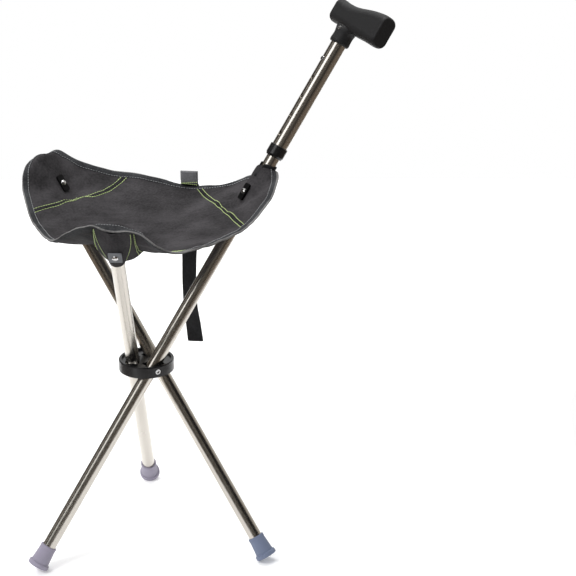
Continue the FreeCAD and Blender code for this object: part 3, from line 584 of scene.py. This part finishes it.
def grid_faces(rows, columns, start=0, flip=False):
    faces = []
    for r in range(rows - 1):
        for c in range(columns - 1):
            a = start + r * columns + c
            face = (a, a + columns, a + columns + 1, a + 1)
            faces.append(face[::-1] if flip else face)
    return faces


def sleeve_faces(rings, around, start=0, closed=False):
    """Faces between rings of points. Closed, the last ring goes on to the first."""
    faces = []
    for ring in range(rings if closed else rings - 1):
        here, onward = start + ring * around, start + (ring + 1) % rings * around
        for c in range(around):
            d = (c + 1) % around
            faces.append((here + c, here + d, onward + d, onward + c))
    return faces


def end_faces(rings, around):
    """Faces that close a sleeve at its first and last ring."""
    return [tuple(range(around))[::-1], tuple(range((rings - 1) * around, rings * around))]


def layer_faces(rows, columns, first_row=False):
    """Two layers of a grid, joined along both sides and the last row, and if asked the first."""
    count = rows * columns
    faces = grid_faces(rows, columns) + grid_faces(rows, columns, count, flip=True)
    for c in range(columns - 1):
        rim = count - columns + c
        faces.append((rim, count + rim, count + rim + 1, rim + 1))
        if first_row:
            faces.append((c, c + 1, count + c + 1, count + c))
    for r in range(rows - 1):
        for c in (0, columns - 1):
            a, b = r * columns + c, (r + 1) * columns + c
            face = (a, b, count + b, count + a)
            faces.append(face if c else face[::-1])
    return faces


def crisp(made):
    """Joins points that meet and keeps cut edges crisp."""
    shape = bmesh.new()
    shape.from_mesh(made.data)
    bmesh.ops.remove_doubles(shape, verts=shape.verts, dist=1e-6)
    bmesh.ops.recalc_face_normals(shape, faces=shape.faces)
    for edge in shape.edges:
        edge.smooth = len(edge.link_faces) == 2 and edge.calc_face_angle(0) < math.radians(50)
    shape.to_mesh(made.data)
    shape.free()
    return made


def ribbon(name, path, width, thick, material):
    """Flat tape along a path of (point, sideways, up), its underside on the path."""
    points, uvs = [], []
    run = 0.0
    for n, (point, side, up) in enumerate(path):
        if n:
            run += float(np.linalg.norm(point - path[n - 1][0]))
        for across, lift in ((-0.5, 0), (-0.42, 1), (0.42, 1), (0.5, 0)):
            points.append(point + side * across * width + up * lift * thick)
            uvs.append((across * width * MM, run * MM))
    faces = sleeve_faces(len(path), 4)
    faces += [(3, 2, 1, 0), tuple(range(len(points) - 4, len(points)))]
    return mesh(name, points, faces, material, uvs)


def resample(points, spacing):
    points = np.asarray(points, float)
    steps = np.linalg.norm(np.diff(points[:, :3], axis=0), axis=1)
    run = np.concatenate(([0], np.cumsum(steps)))
    wanted = np.linspace(0, run[-1], max(2, int(round(run[-1] / spacing)) + 1))
    return np.stack([np.interp(wanted, run, column) for column in points.T], 1)


def stitches(name, line, normals, material, size):
    """A row of sewn stitches along a line on cloth, given with the cloth's normals."""
    length, gap, thick = size
    marks = resample(np.concatenate((line, normals), 1), length + gap)
    share = length / (length + gap)
    points, faces = [], []
    for first, second in zip(marks, marks[1:]):
        if in_stick(first[:3]) or in_stick(second[:3]):
            continue
        step = (second - first) * share
        whole = np.array([first, first + step / 2, first + step])
        top, normal = whole[:, :3], whole[:, 3:]
        side = np.cross(normal[1], top[2] - top[0])
        side /= np.linalg.norm(side)
        base = len(points)
        for n, swell in enumerate((0.5, 1.0, 0.5)):
            for across, lift in ((-1, 0.0), (0, 1.1), (1, 0.0), (0, -0.6)):
                off = side * across * thick * swell
                points.append(top[n] + off + normal[n] * lift * thick * swell)
        faces += sleeve_faces(3, 4, base)
        faces += [(base + 3, base + 2, base + 1, base), (base + 8, base + 9, base + 10, base + 11)]
    return mesh(name, points, faces, material)


# Seat


def normals_of(x, y):
    """Unit normals of the seat surface."""
    step = 1.0
    slope_x = (surface(x + step, y) - surface(x - step, y)) / (2 * step)
    slope_y = (surface(x, y + step) - surface(x, y - step)) / (2 * step)
    return unit(np.stack((-slope_x, -slope_y, np.ones_like(slope_x)), -1))


def on_seat(points, lift=0.0):
    """Plan points raised onto the seat surface, with the surface normals."""
    points = np.asarray(points, float)
    x, y = points[:, 0], points[:, 1]
    normal = normals_of(x, y)
    return np.stack((x, y, surface(x, y)), -1) + normal * lift, normal


def in_stick(points):
    """Which points are in the opening that the stick goes up through."""
    local = leg_point(CANE, np.asarray(points, float))
    return np.hypot(local[..., 0], local[..., 1]) < STICK_HOLE


def round_tube(number, points, radius):
    """Moves points that would be inside a leg's tube out to its surface."""
    local = leg_point(number, points)
    around = np.hypot(local[..., 0], local[..., 1])
    push = np.maximum(1, radius / np.maximum(around, 0.1))
    local[..., 0] *= push
    local[..., 1] *= push
    return from_leg(number, local)


def bend_with_leg(piece):
    """Writes a piece's placing into its mesh, so that it stays put in the scene."""
    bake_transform(piece)


def stick_opening(faces, inside, count):
    """Cuts out the faces inside the stick's opening and joins the two layers round it."""
    cut = [face for face in faces if inside[list(face)].all()]
    faces = [face for face in faces if not inside[list(face)].all()]
    sides = {(a, b) for face in faces for a, b in zip(face, face[1:] + face[:1])}
    for face in cut:
        for a, b in zip(face, face[1:] + face[:1]):
            if (b, a) in sides and max(a, b) < count:
                faces.append((a, b, count + b, count + a))
    return faces


def seat_third(number):
    """One third of the seat: from the middle to a corner, between two mid-edges."""
    centre = corner_turn(number)
    turns = np.linspace(centre - HALF_THIRD, centre + HALF_THIRD, THIRD_COLUMNS)
    shares = np.linspace(0, 1, THIRD_ROWS) ** THIRD_CROWD
    reach = outline_reach(turns) - HEM_INSET
    x = np.outer(shares, reach * np.cos(turns))
    y = np.outer(shares, reach * np.sin(turns))
    top = np.stack((x, y, surface(x, y)), -1)
    under = top - normals_of(x, y) * CLOTH * UNDER_SHARE
    points = np.concatenate((top.reshape(-1, 3), under.reshape(-1, 3)))
    faces = layer_faces(THIRD_ROWS, THIRD_COLUMNS)
    uvs = [(p[0] * MM, p[1] * MM) for p in points]
    if number == CANE:
        faces = stick_opening(faces, in_stick(points), THIRD_ROWS * THIRD_COLUMNS)
        points = round_tube(CANE, points, STICK_HOLE)
    return crisp(mesh(f"seat_{LEGS[number]}_third", points, faces, CANVAS, uvs))


def corner_outline(number, inset):
    """The part of the seat's outline that belongs to one corner, moved in from the edge."""
    centre = corner_turn(number)
    turns = np.linspace(centre - HALF_THIRD, centre + HALF_THIRD, OUTLINE_POINTS)
    reach = outline_reach(turns)
    points = np.stack((reach * np.cos(turns), reach * np.sin(turns)), 1)
    tangent = unit(np.gradient(points, axis=0))
    inward = np.stack((-tangent[:, 1], tangent[:, 0]), 1)
    return points + inward * (inset + HEM_INSET)


def folded_hem(name, number, start, stop):
    """Hem folded round the seat's edge, with a painted highlight on the fold."""
    rows = [on_seat(corner_outline(number, inset)[start:stop], lift)[0]
            for inset, lift in HEM_SECTION]
    grid = np.stack(rows, 1)
    count, corners, _ = grid.shape
    faces = sleeve_faces(count, corners) + end_faces(count, corners)
    # Faces round the fold take the paler canvas: a painted highlight.
    pale = [c in PAINTED_HIGHLIGHT_CORNERS for _ in range(count - 1) for c in range(corners)]
    steps = np.linalg.norm(np.diff(grid[:, 2], axis=0), axis=1)
    run = np.concatenate(([0], np.cumsum(steps)))
    across = np.cumsum([0] + [math.dist(*pair) for pair in zip(HEM_SECTION, HEM_SECTION[1:])])
    uvs = [(across[c] * MM, run[n] * MM) for n in range(count) for c in range(corners)]
    made = mesh(name, grid.reshape(-1, 3), faces, HEM, uvs)
    made.data.materials.append(PAINTED_HIGHLIGHT_HEM)
    for polygon, rubbed in zip(made.data.polygons, pale):
        polygon.material_index = int(rubbed)
    return made


def hems(number):
    """A corner's hem and its stitching. The cane's hem stops on either side of the stick."""
    leg = LEGS[number]
    runs = [(0, None)]
    if number == CANE:
        middle, edge = (on_seat(corner_outline(number, inset))[0] for inset in (HEM_MIDDLE, 0))
        beside = np.nonzero(in_stick(middle) | in_stick(edge))[0]
        runs = [(0, int(beside[0])), (int(beside[-1]) + 1, None)]
    pieces = [folded_hem(f"hem_{leg}_{n}", number, *run) for n, run in enumerate(runs, 1)]
    line, up = on_seat(corner_outline(number, HEM_STITCH_INSET), HEM_STITCH_LIFT)
    return pieces + [stitches(f"hem_stitches_{leg}", line, up, GREY_THREAD, HEM_STITCH)]


def sewn_seam(number):
    """Felled seam across a corner, between two rows of green stitches."""
    leg = LEGS[number]
    ahead, aside = corner_axes(number)
    reach, swing = SEAMS[number]
    across = np.linspace(-SEAM_HALF, SEAM_HALF, SEAM_POINTS)
    pieces = []
    for name, apart in ((f"green_seam_{leg}_1", 0), (f"felled_seam_{leg}", SEAM_APART / 2),
                        (f"green_seam_{leg}_2", SEAM_APART)):
        out = reach + apart + swing * soft_max(across - SEAM_SWING_FROM, 0, SEAM_SWING_EASE)
        plan = out[:, None] * ahead + np.outer(across, aside)
        edge = outline_reach(np.arctan2(plan[:, 1], plan[:, 0])) - SEAM_END_INSET
        marks, up = on_seat(plan[np.hypot(plan[:, 0], plan[:, 1]) < edge])
        if name.startswith("felled"):
            along = unit(np.gradient(marks, axis=0))
            path = list(zip(marks, np.cross(up, along), up))
            # The felled seam's strip is in the darker canvas that paints shade.
            pieces.append(ribbon(name, path, SEAM_APART - 1, SEAM_THICK, PAINTED_SHADE_CANVAS))
        else:
            pieces.append(stitches(name, marks, up, GREEN_THREAD, SEAM_STITCH))
    return pieces


def seat():
    """The seat's thirds with their hems and seams. Returns the cane's third."""
    thirds = []
    for number, leg in enumerate(LEGS):
        third = seat_third(number)
        parts = hems(number) + sewn_seam(number)
        for piece in (third, *parts):
            bend_with_leg(piece)
        turns = np.linspace(-math.pi / 3, math.pi / 3, 3) + corner_turn(number)
        spots = outline_reach(turns)[:, None] * np.stack((np.cos(turns), np.sin(turns)), 1)
        half_way, _ = on_seat(np.linspace((0, 0), spots[1], 60))
        thirds.append(third)
    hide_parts("seat_cloth")
    return thirds[CANE]


def pocket_wall(number, edge, lateral):
    """Side of a pocket: from one edge of its front to a seam under the seat."""
    ahead, aside = corner_axes(number)
    down = np.linspace(0, 1, POCKET_DOWN)[:, None]
    start = edge[0, :2]
    end = ahead * SIDE_SEAM_END + aside * lateral
    plan = start + (end - start) * down
    under = np.stack((plan[:, 0], plan[:, 1], surface(plan[:, 0], plan[:, 1]) - WALL_UNDER), -1)
    share = np.linspace(0, 1, WALL_COLUMNS)[:, None]
    wall = edge[:, None] + (under - edge)[:, None] * share
    sag = np.sin(np.pi * share) * down[:, None] * POCKET_SAG
    wall[..., 2] -= sag[..., 0]
    return wall


def pocket_cloth(number):
    """Grid of a pocket's inner side: wall, front and wall."""
    _, aside = corner_axes(number)
    across = np.linspace(-1, 1, POCKET_ACROSS)
    down = np.linspace(0, 1, POCKET_DOWN)[:, None]
    turns = corner_turn(number) + across * math.radians(POCKET_HALF)
    reach = outline_reach(turns) - POCKET_INSET
    x, y = reach * np.cos(turns), reach * np.sin(turns)
    brow = np.stack((x, y, surface(x, y) - POCKET_UNDER), -1)
    bend = across * POCKET_WRAP
    mouth = from_leg(number, np.stack((POCKET_R * np.cos(bend), -POCKET_R * np.sin(bend),
                                       np.full_like(bend, POCKET_MOUTH)), -1))
    if leg_point(number, brow)[0, 1] < leg_point(number, brow)[-1, 1]:
        mouth = mouth[::-1]
    swell = np.sin(np.pi * down)[..., None] * np.abs(across)[:, None] ** 3 * POCKET_SWELL
    outwards = np.sign(across)[:, None] * np.append(aside, 0)
    front = brow + (mouth - brow) * down[..., None] + swell * outwards
    walls = [pocket_wall(number, front[:, side], lateral)
             for side, lateral in zip((0, -1), SIDE_SEAMS)]
    cloth = np.concatenate((walls[0][:, :0:-1], front, walls[1][:, 1:]), 1)
    return round_tube(number, cloth, POCKET_R)


def pocket(number):
    """Pocket that hangs from the seat's tip round the outer side of the tube, with a side wall
    sewn to the seat's underside along each edge."""
    leg = LEGS[number]
    cloth = pocket_cloth(number)
    normal = np.cross(np.gradient(cloth, axis=0), np.gradient(cloth, axis=1))
    normal = normal / np.maximum(np.linalg.norm(normal, axis=-1, keepdims=True), 1e-6)
    rows, columns, _ = cloth.shape
    # The middle of the front tells which way is out.
    if normal[15, columns // 2] @ np.append(corner_axes(number)[0], 0) < 0:
        normal = -normal
    normal[0] = normal[1]
    outer = cloth + normal * POCKET_CLOTH
    points = np.concatenate((outer.reshape(-1, 3), cloth.reshape(-1, 3)))
    faces = layer_faces(rows, columns, first_row=True)
    over, down = POCKET_LAY
    lay = np.stack(np.meshgrid(np.arange(columns) * over, np.arange(rows) * down), -1)
    uvs = [tuple(spot) for spot in np.tile(lay.reshape(-1, 2) * MM, (2, 1))]
    made = crisp(mesh(f"pocket_{leg}", points, faces, CANVAS, uvs))
    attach(made, leg)
    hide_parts(f"{leg}_corner_pocket")
    for name, column, first in POCKET_ROWS:
        line, out = outer[first:-1, column], normal[first:-1, column]
        row = stitches(f"pocket_seam_{leg}_{name}", line, out, GREEN_THREAD, POCKET_STITCH)
        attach(row, leg)


# Strap


def strap_axes():
    """Out over the middle of the far edge and along that edge, both level."""
    turn = corner_turn(CANE) + HALF_THIRD
    out = np.array((math.cos(turn), math.sin(turn), 0))
    return out, np.array((-math.sin(turn), math.cos(turn), 0))


def rim_along(out, aside, shift):
    """How far the outline is from the strap's line through the middle, going straight outwards."""
    distance = SHOULDER_REACH
    for _ in range(20):
        spot = out * distance - aside * shift
        reach = float(outline_reach(math.atan2(spot[1], spot[0])))
        distance += reach - float(np.linalg.norm(spot))
    return distance


def strap_path(out, aside, rim, brow):
    """Middle line of the strap as (point, sideways, up), from the tab's top to the tail's end."""
    knots = np.array([(rim + d, brow + h, STRAP_SHIFT + across, twist)
                      for d, h, across, twist in STRAP_WAY])
    steps = np.hypot(np.diff(knots[:, 0]), np.diff(knots[:, 1]))
    run = np.concatenate(([0], np.cumsum(steps)))
    fine = np.linspace(0, run[-1], STRAP_POINTS)
    line = np.stack([np.interp(fine, run, column) for column in knots.T], 1)
    for _ in range(STRAP_SMOOTHINGS):
        line[1:-1] = (line[:-2] + 2 * line[1:-1] + line[2:]) / 4
    points = line[:, :1] * out + UPWARDS * line[:, 1:2] - aside * line[:, 2:3]
    path = []
    for point, ahead, twist in zip(points, unit(np.gradient(points, axis=0)), line[:, 3]):
        side = aside * math.cos(twist) + out * math.sin(twist)
        side = side - ahead * (side @ ahead)
        side /= np.linalg.norm(side)
        path.append((point, side, np.cross(side, ahead)))
    return path


def tie_strap(cane_third):
    """Webbing sewn to the seat's edge: a folded tab stands up from it and a tail hangs from it."""
    out, aside = strap_axes()
    half = STRAP_WIDTH // 2
    # The strap clears the hem on both its sides.
    rim = max(rim_along(out, aside, STRAP_SHIFT + shift) for shift in (-half, half))
    edge = out * rim - aside * STRAP_SHIFT
    brow = float(seat_height(edge[0] * 0.98, edge[1] * 0.98)) + STRAP_BROW
    path = strap_path(out, aside, rim, brow)
    strap = ribbon("tie_strap_webbing", path, STRAP_WIDTH, STRAP_THICK, WEBBING)
    under = [(point - up * HOOK_GAP, side, up) for point, side, up in path[HOOK_PART]]
    hook = ribbon("hook_tape", under, STRAP_WIDTH - HOOK_NARROWER, HOOK_THICK, HOOK)
    over = [(point + up * TAB_GAP, side, up) for point, side, up in path[TAB_PART]]
    fold = ribbon("tab_fold", over, STRAP_WIDTH, TAB_THICK, PALE_WEBBING)
    tacks = []
    for n, (rise, slant) in enumerate(TACKS, 1):
        share = np.linspace(-0.5, 0.5, 12)[:, None]
        foot = edge + np.array((0, 0, brow + rise)) - out * TACK_IN
        row = foot + aside * share * (STRAP_WIDTH - 1) + UPWARDS * share * slant
        facing = np.tile(-out, (len(row), 1))
        tacks.append(stitches(f"bar_tack_{n}", row, facing, GREEN_THREAD, TACK_STITCH))
    for piece in (strap, hook, fold, *tacks):
        bend_with_leg(piece)
    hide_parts("tie_strap")
    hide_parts("hook_patch")


# Stick


def stick_band():
    """Dark band round the stick where it comes up through the seat, in the webbing's near-black
    material.
    """
    angles = np.linspace(0, math.tau, BAND_CORNERS + 1)[:-1]
    inner, outer = STICK_HOLE, STICK_HOLE + BAND_THICK
    meets = []
    for radius in (inner, outer):
        # Halving finds the reach at which each line up the band comes through the seat.
        ring = np.stack((radius * np.cos(angles), radius * np.sin(angles),
                         np.full_like(angles, 300.0)), -1)
        below, above = np.full(len(angles), 290.0), np.full(len(angles), 350.0)
        for _ in range(24):
            ring[:, 2] = (below + above) / 2
            spot = from_leg(CANE, ring)
            over = spot[:, 2] > surface(spot[:, 0], spot[:, 1])
            above = np.where(over, ring[:, 2], above)
            below = np.where(over, below, ring[:, 2])
        meets.append(ring[:, 2])
    foot = np.minimum((meets[0] + meets[1]) / 2, BAND_TOP - BAND_LEAST)
    rows = []
    for radius, rise in ((inner, BAND_BELOW), (outer, BAND_BELOW), (outer, BAND_SIDE),
                         (outer - BAND_LIP, BAND_ABOVE), (inner, BAND_ABOVE)):
        ring = (radius * np.cos(angles), radius * np.sin(angles), np.minimum(foot + rise, BAND_TOP))
        rows.append(from_leg(CANE, np.stack(ring, -1)))
    count = len(rows)
    faces = sleeve_faces(count, BAND_CORNERS, closed=True)
    over, up = BAND_LAY
    uvs = [(c * over * MM, r * up * MM) for r in range(count) for c in range(BAND_CORNERS)]
    made = mesh("stick_band", np.stack(rows).reshape(-1, 3), faces, WEBBING, uvs)
    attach(made, "cane")


def spring_clip():
    """Folded strip of spring steel in the stick, with the button that its near leaf carries."""
    origin = from_leg(CANE, np.zeros(3))
    side = from_leg(CANE, np.array((0.0, 1.0, 0.0))) - origin
    bend = [(CLIP_HALF * math.cos(a), CLIP_BEND + CLIP_HALF * math.sin(a))
            for a in np.linspace(math.pi, math.tau, 15)]
    path = []
    for x, reach in [(-CLIP_HALF, CLIP_ENDS[0]), *bend, (CLIP_HALF, CLIP_ENDS[1])]:
        # The ends' leaves are straight, so they face square to the stick.
        away = (x, 0.0, 0.0) if reach in CLIP_ENDS else (x, 0.0, reach - CLIP_BEND)
        up = from_leg(CANE, unit(np.array(away))) - origin
        path.append((from_leg(CANE, np.array((x, 0.0, reach))), side, up))
    strip = ribbon("clip_strip", path, CLIP_WIDTH, CLIP_STEEL, SPRING_STEEL)
    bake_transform(strip)
    angles = np.linspace(0, math.tau, BUTTON_CORNERS + 1)[:-1]
    points = [(x, radius * math.cos(a), BUTTON_REACH + radius * math.sin(a))
              for radius, x in BUTTON_PROFILE for a in angles]
    rings = len(BUTTON_PROFILE)
    faces = sleeve_faces(rings, BUTTON_CORNERS) + end_faces(rings, BUTTON_CORNERS)
    button = mesh("clip_button", from_leg(CANE, np.array(points)), faces, SPRING_STEEL)
    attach(button, "snap")
    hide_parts("snap_clip")


def true_round(node, number):
    """Shades a tube as the exact round it is, also between the corners of its mesh."""
    data = node.data
    turn = node.matrix_world.to_3x3()
    back = turn.inverted()
    world = np.array([node.matrix_world @ vertex.co for vertex in data.vertices])
    local = leg_point(number, (world - np.array(HUB)) / MM)
    round_way = local * np.array((1.0, 1.0, 0.0))
    round_way /= np.maximum(np.linalg.norm(round_way, axis=1, keepdims=True), 1e-6)
    outward = from_leg(number, round_way) - from_leg(number, np.zeros(3))
    normals = [None] * len(data.loops)
    for polygon in data.polygons:
        face = turn @ polygon.normal
        for loop in polygon.loop_indices:
            way = Vector(outward[data.loops[loop].vertex_index])
            lean = face.dot(way)
            # Faces of the tube's wall look out or in; ends and holes keep their own normals.
            on_wall = abs(lean) > 0.9
            normals[loop] = back @ (way * math.copysign(1, lean) if on_wall else face)
        polygon.use_smooth = True
    data.normals_split_custom_set(normals)


for name, number in (("cane_tube", 0), ("upper_tube", 0), ("rear_tube", 1), ("front_tube", 2)):
    true_round(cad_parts[name], number)

tie_strap(seat())
stick_band()
spring_clip()
for number in range(len(LEGS)):
    pocket(number)


# Camera, light and room

# Where the photograph was taken from: the camera is fitted to the feet, the hub and the stick.
camera = bpy.data.objects.new("camera", bpy.data.cameras.new("camera"))
scene.collection.objects.link(camera)
camera.data.sensor_width = 36
camera.data.lens = 129.575
camera.data.shift_x = -0.0436
camera.data.shift_y = -0.00826
camera.data.clip_end = 100
forward = Vector((0.4540, 0.8139, -0.3626)).normalized()
right = Vector((0.8139, -0.4540, 0)).normalized()
axes = Matrix((right, right.cross(forward), -forward)).transposed().to_4x4()
camera.matrix_world = Matrix.Translation(place(-1105.9, -2466.5, 1168.0)) @ axes
scene.camera = camera
scene.view_settings.view_transform = "Standard"


def softbox(name, at, toward, width, height, watts, mirrored=True):
    """Area lamp in metres and watts. One that isn't mirrored lights metal without showing in it."""
    data = bpy.data.lights.new(name, "AREA")
    data.shape = "RECTANGLE"
    data.size, data.size_y = width, height
    data.energy = watts
    lamp = bpy.data.objects.new(name, data)
    scene.collection.objects.link(lamp)
    lamp.location = at
    aim = Vector(toward) - Vector(at)
    lamp.rotation_euler = aim.to_track_quat("-Z", "Y").to_euler()
    lamp.visible_glossy = mirrored


softbox("key softbox", (-2.2, -0.6, 2.4), (0, 0, 0.4), 1.1, 1.1, 56, mirrored=False)
softbox("back softbox", (-0.6, 2.2, 2.2), (0, 0, 0.5), 1.4, 0.9, 40, mirrored=False)
softbox("top softbox", (0.3, 0.3, 2.7), (0, 0, 0.4), 1.4, 1.4, 36)


def paper():
    """Sheet of white paper under the object. The studio beyond it is as white."""
    ahead = Vector((forward.x, forward.y, 0)).normalized()
    side = Vector((ahead.y, -ahead.x, 0))
    points = []
    for distance, half in ((-0.6, 0.55), (0.4, 0.6), (1.6, 0.9)):
        points += [ahead * distance + side * width for width in (-half, half)]
    data = bpy.data.meshes.new("sweep")
    data.from_pydata([tuple(p) for p in points], [], [(0, 1, 3, 2), (2, 3, 5, 4)])
    material, _, shader = even_finish("coated white paper", "#f6f6f6", 0.9)
    shader.inputs["Emission Color"].default_value = (1, 1, 1, 1)
    shader.inputs["Emission Strength"].default_value = 0.2
    data.materials.append(material)
    sweep = bpy.data.objects.new("sweep", data)
    scene.collection.objects.link(sweep)


def studio():
    """White to the camera and a soft grey room for matt surfaces. Polished ones mirror a room of
    their own, which stays put whatever the view: dark on the photograph's side, bright beyond the
    object, brown below, with the key softbox and a dark card that shades the tubes' left edges."""
    scene.world = bpy.data.worlds.new("studio")
    scene.world.use_nodes = True
    tree = scene.world.node_tree
    way = add(tree, "ShaderNodeTexCoord", {}).outputs["Generated"]
    height = add(tree, "ShaderNodeSeparateXYZ", {"Vector": way}).outputs["Z"]
    # How far a ray turns to the photograph's side, to the card and to the key softbox.
    side, card, key = (
        add(tree, "ShaderNodeVectorMath", {"operation": "DOT_PRODUCT", 0: way, 1: toward})
        .outputs["Value"]
        for toward in (-forward, Vector((-0.35, 0.88, 0.25)).normalized(),
                       Vector((-0.75, -0.2, 0.63)).normalized()))
    side, ground, card, key = (
        add(tree, "ShaderNodeMapRange", {"From Min": start, "From Max": end, "Value": value})
        .outputs["Result"]
        for value, start, end in ((side, -1, 1), (height, 0.05, -0.3), (card, 0.84, 0.92),
                                  (key, 0.955, 0.98)))
    # The room's walls, from beyond the object at 0 to the photograph's side at 1.
    walls = ((0.0, "#ffffff"), (0.3, "#e8e8e6"), (0.42, "#8b8075"), (0.52, "#d8d4ce"),
             (0.6, "#55504a"), (0.68, "#1c1a18"), (0.93, "#141312"), (1.0, "#6b6660"))
    stops = [(at, colour(tint)) for at, tint in walls]
    shown = add(tree, "ShaderNodeValToRGB", {"Fac": side, "stops": stops}).outputs["Color"]
    for part, tint in ((ground, colour("#7d7165")), (card, colour("#4a4642")), (key, (3, 3, 3, 1))):
        settings = {"data_type": "RGBA", "Factor": part, 6: shown, 7: tint}
        shown = add(tree, "ShaderNodeMix", settings).outputs[2]
    white, grey, mirrored = (
        add(tree, "ShaderNodeBackground", {"Color": tint, "Strength": strength}).outputs[0]
        for tint, strength in (((1, 1, 1, 1), 1.0), (colour("#fafafa"), 0.5), (shown, 1.0)))
    ray = add(tree, "ShaderNodeLightPath", {}).outputs
    unseen = add(tree, "ShaderNodeMixShader", {"Fac": ray["Is Glossy Ray"], 1: grey, 2: mirrored})
    whole = add(tree, "ShaderNodeMixShader",
                {"Fac": ray["Is Camera Ray"], 1: unseen.outputs[0], 2: white})
    tree.nodes.remove(tree.nodes["Background"])
    tree.links.new(whole.outputs[0], tree.nodes["World Output"].inputs["Surface"])


paper()
studio()
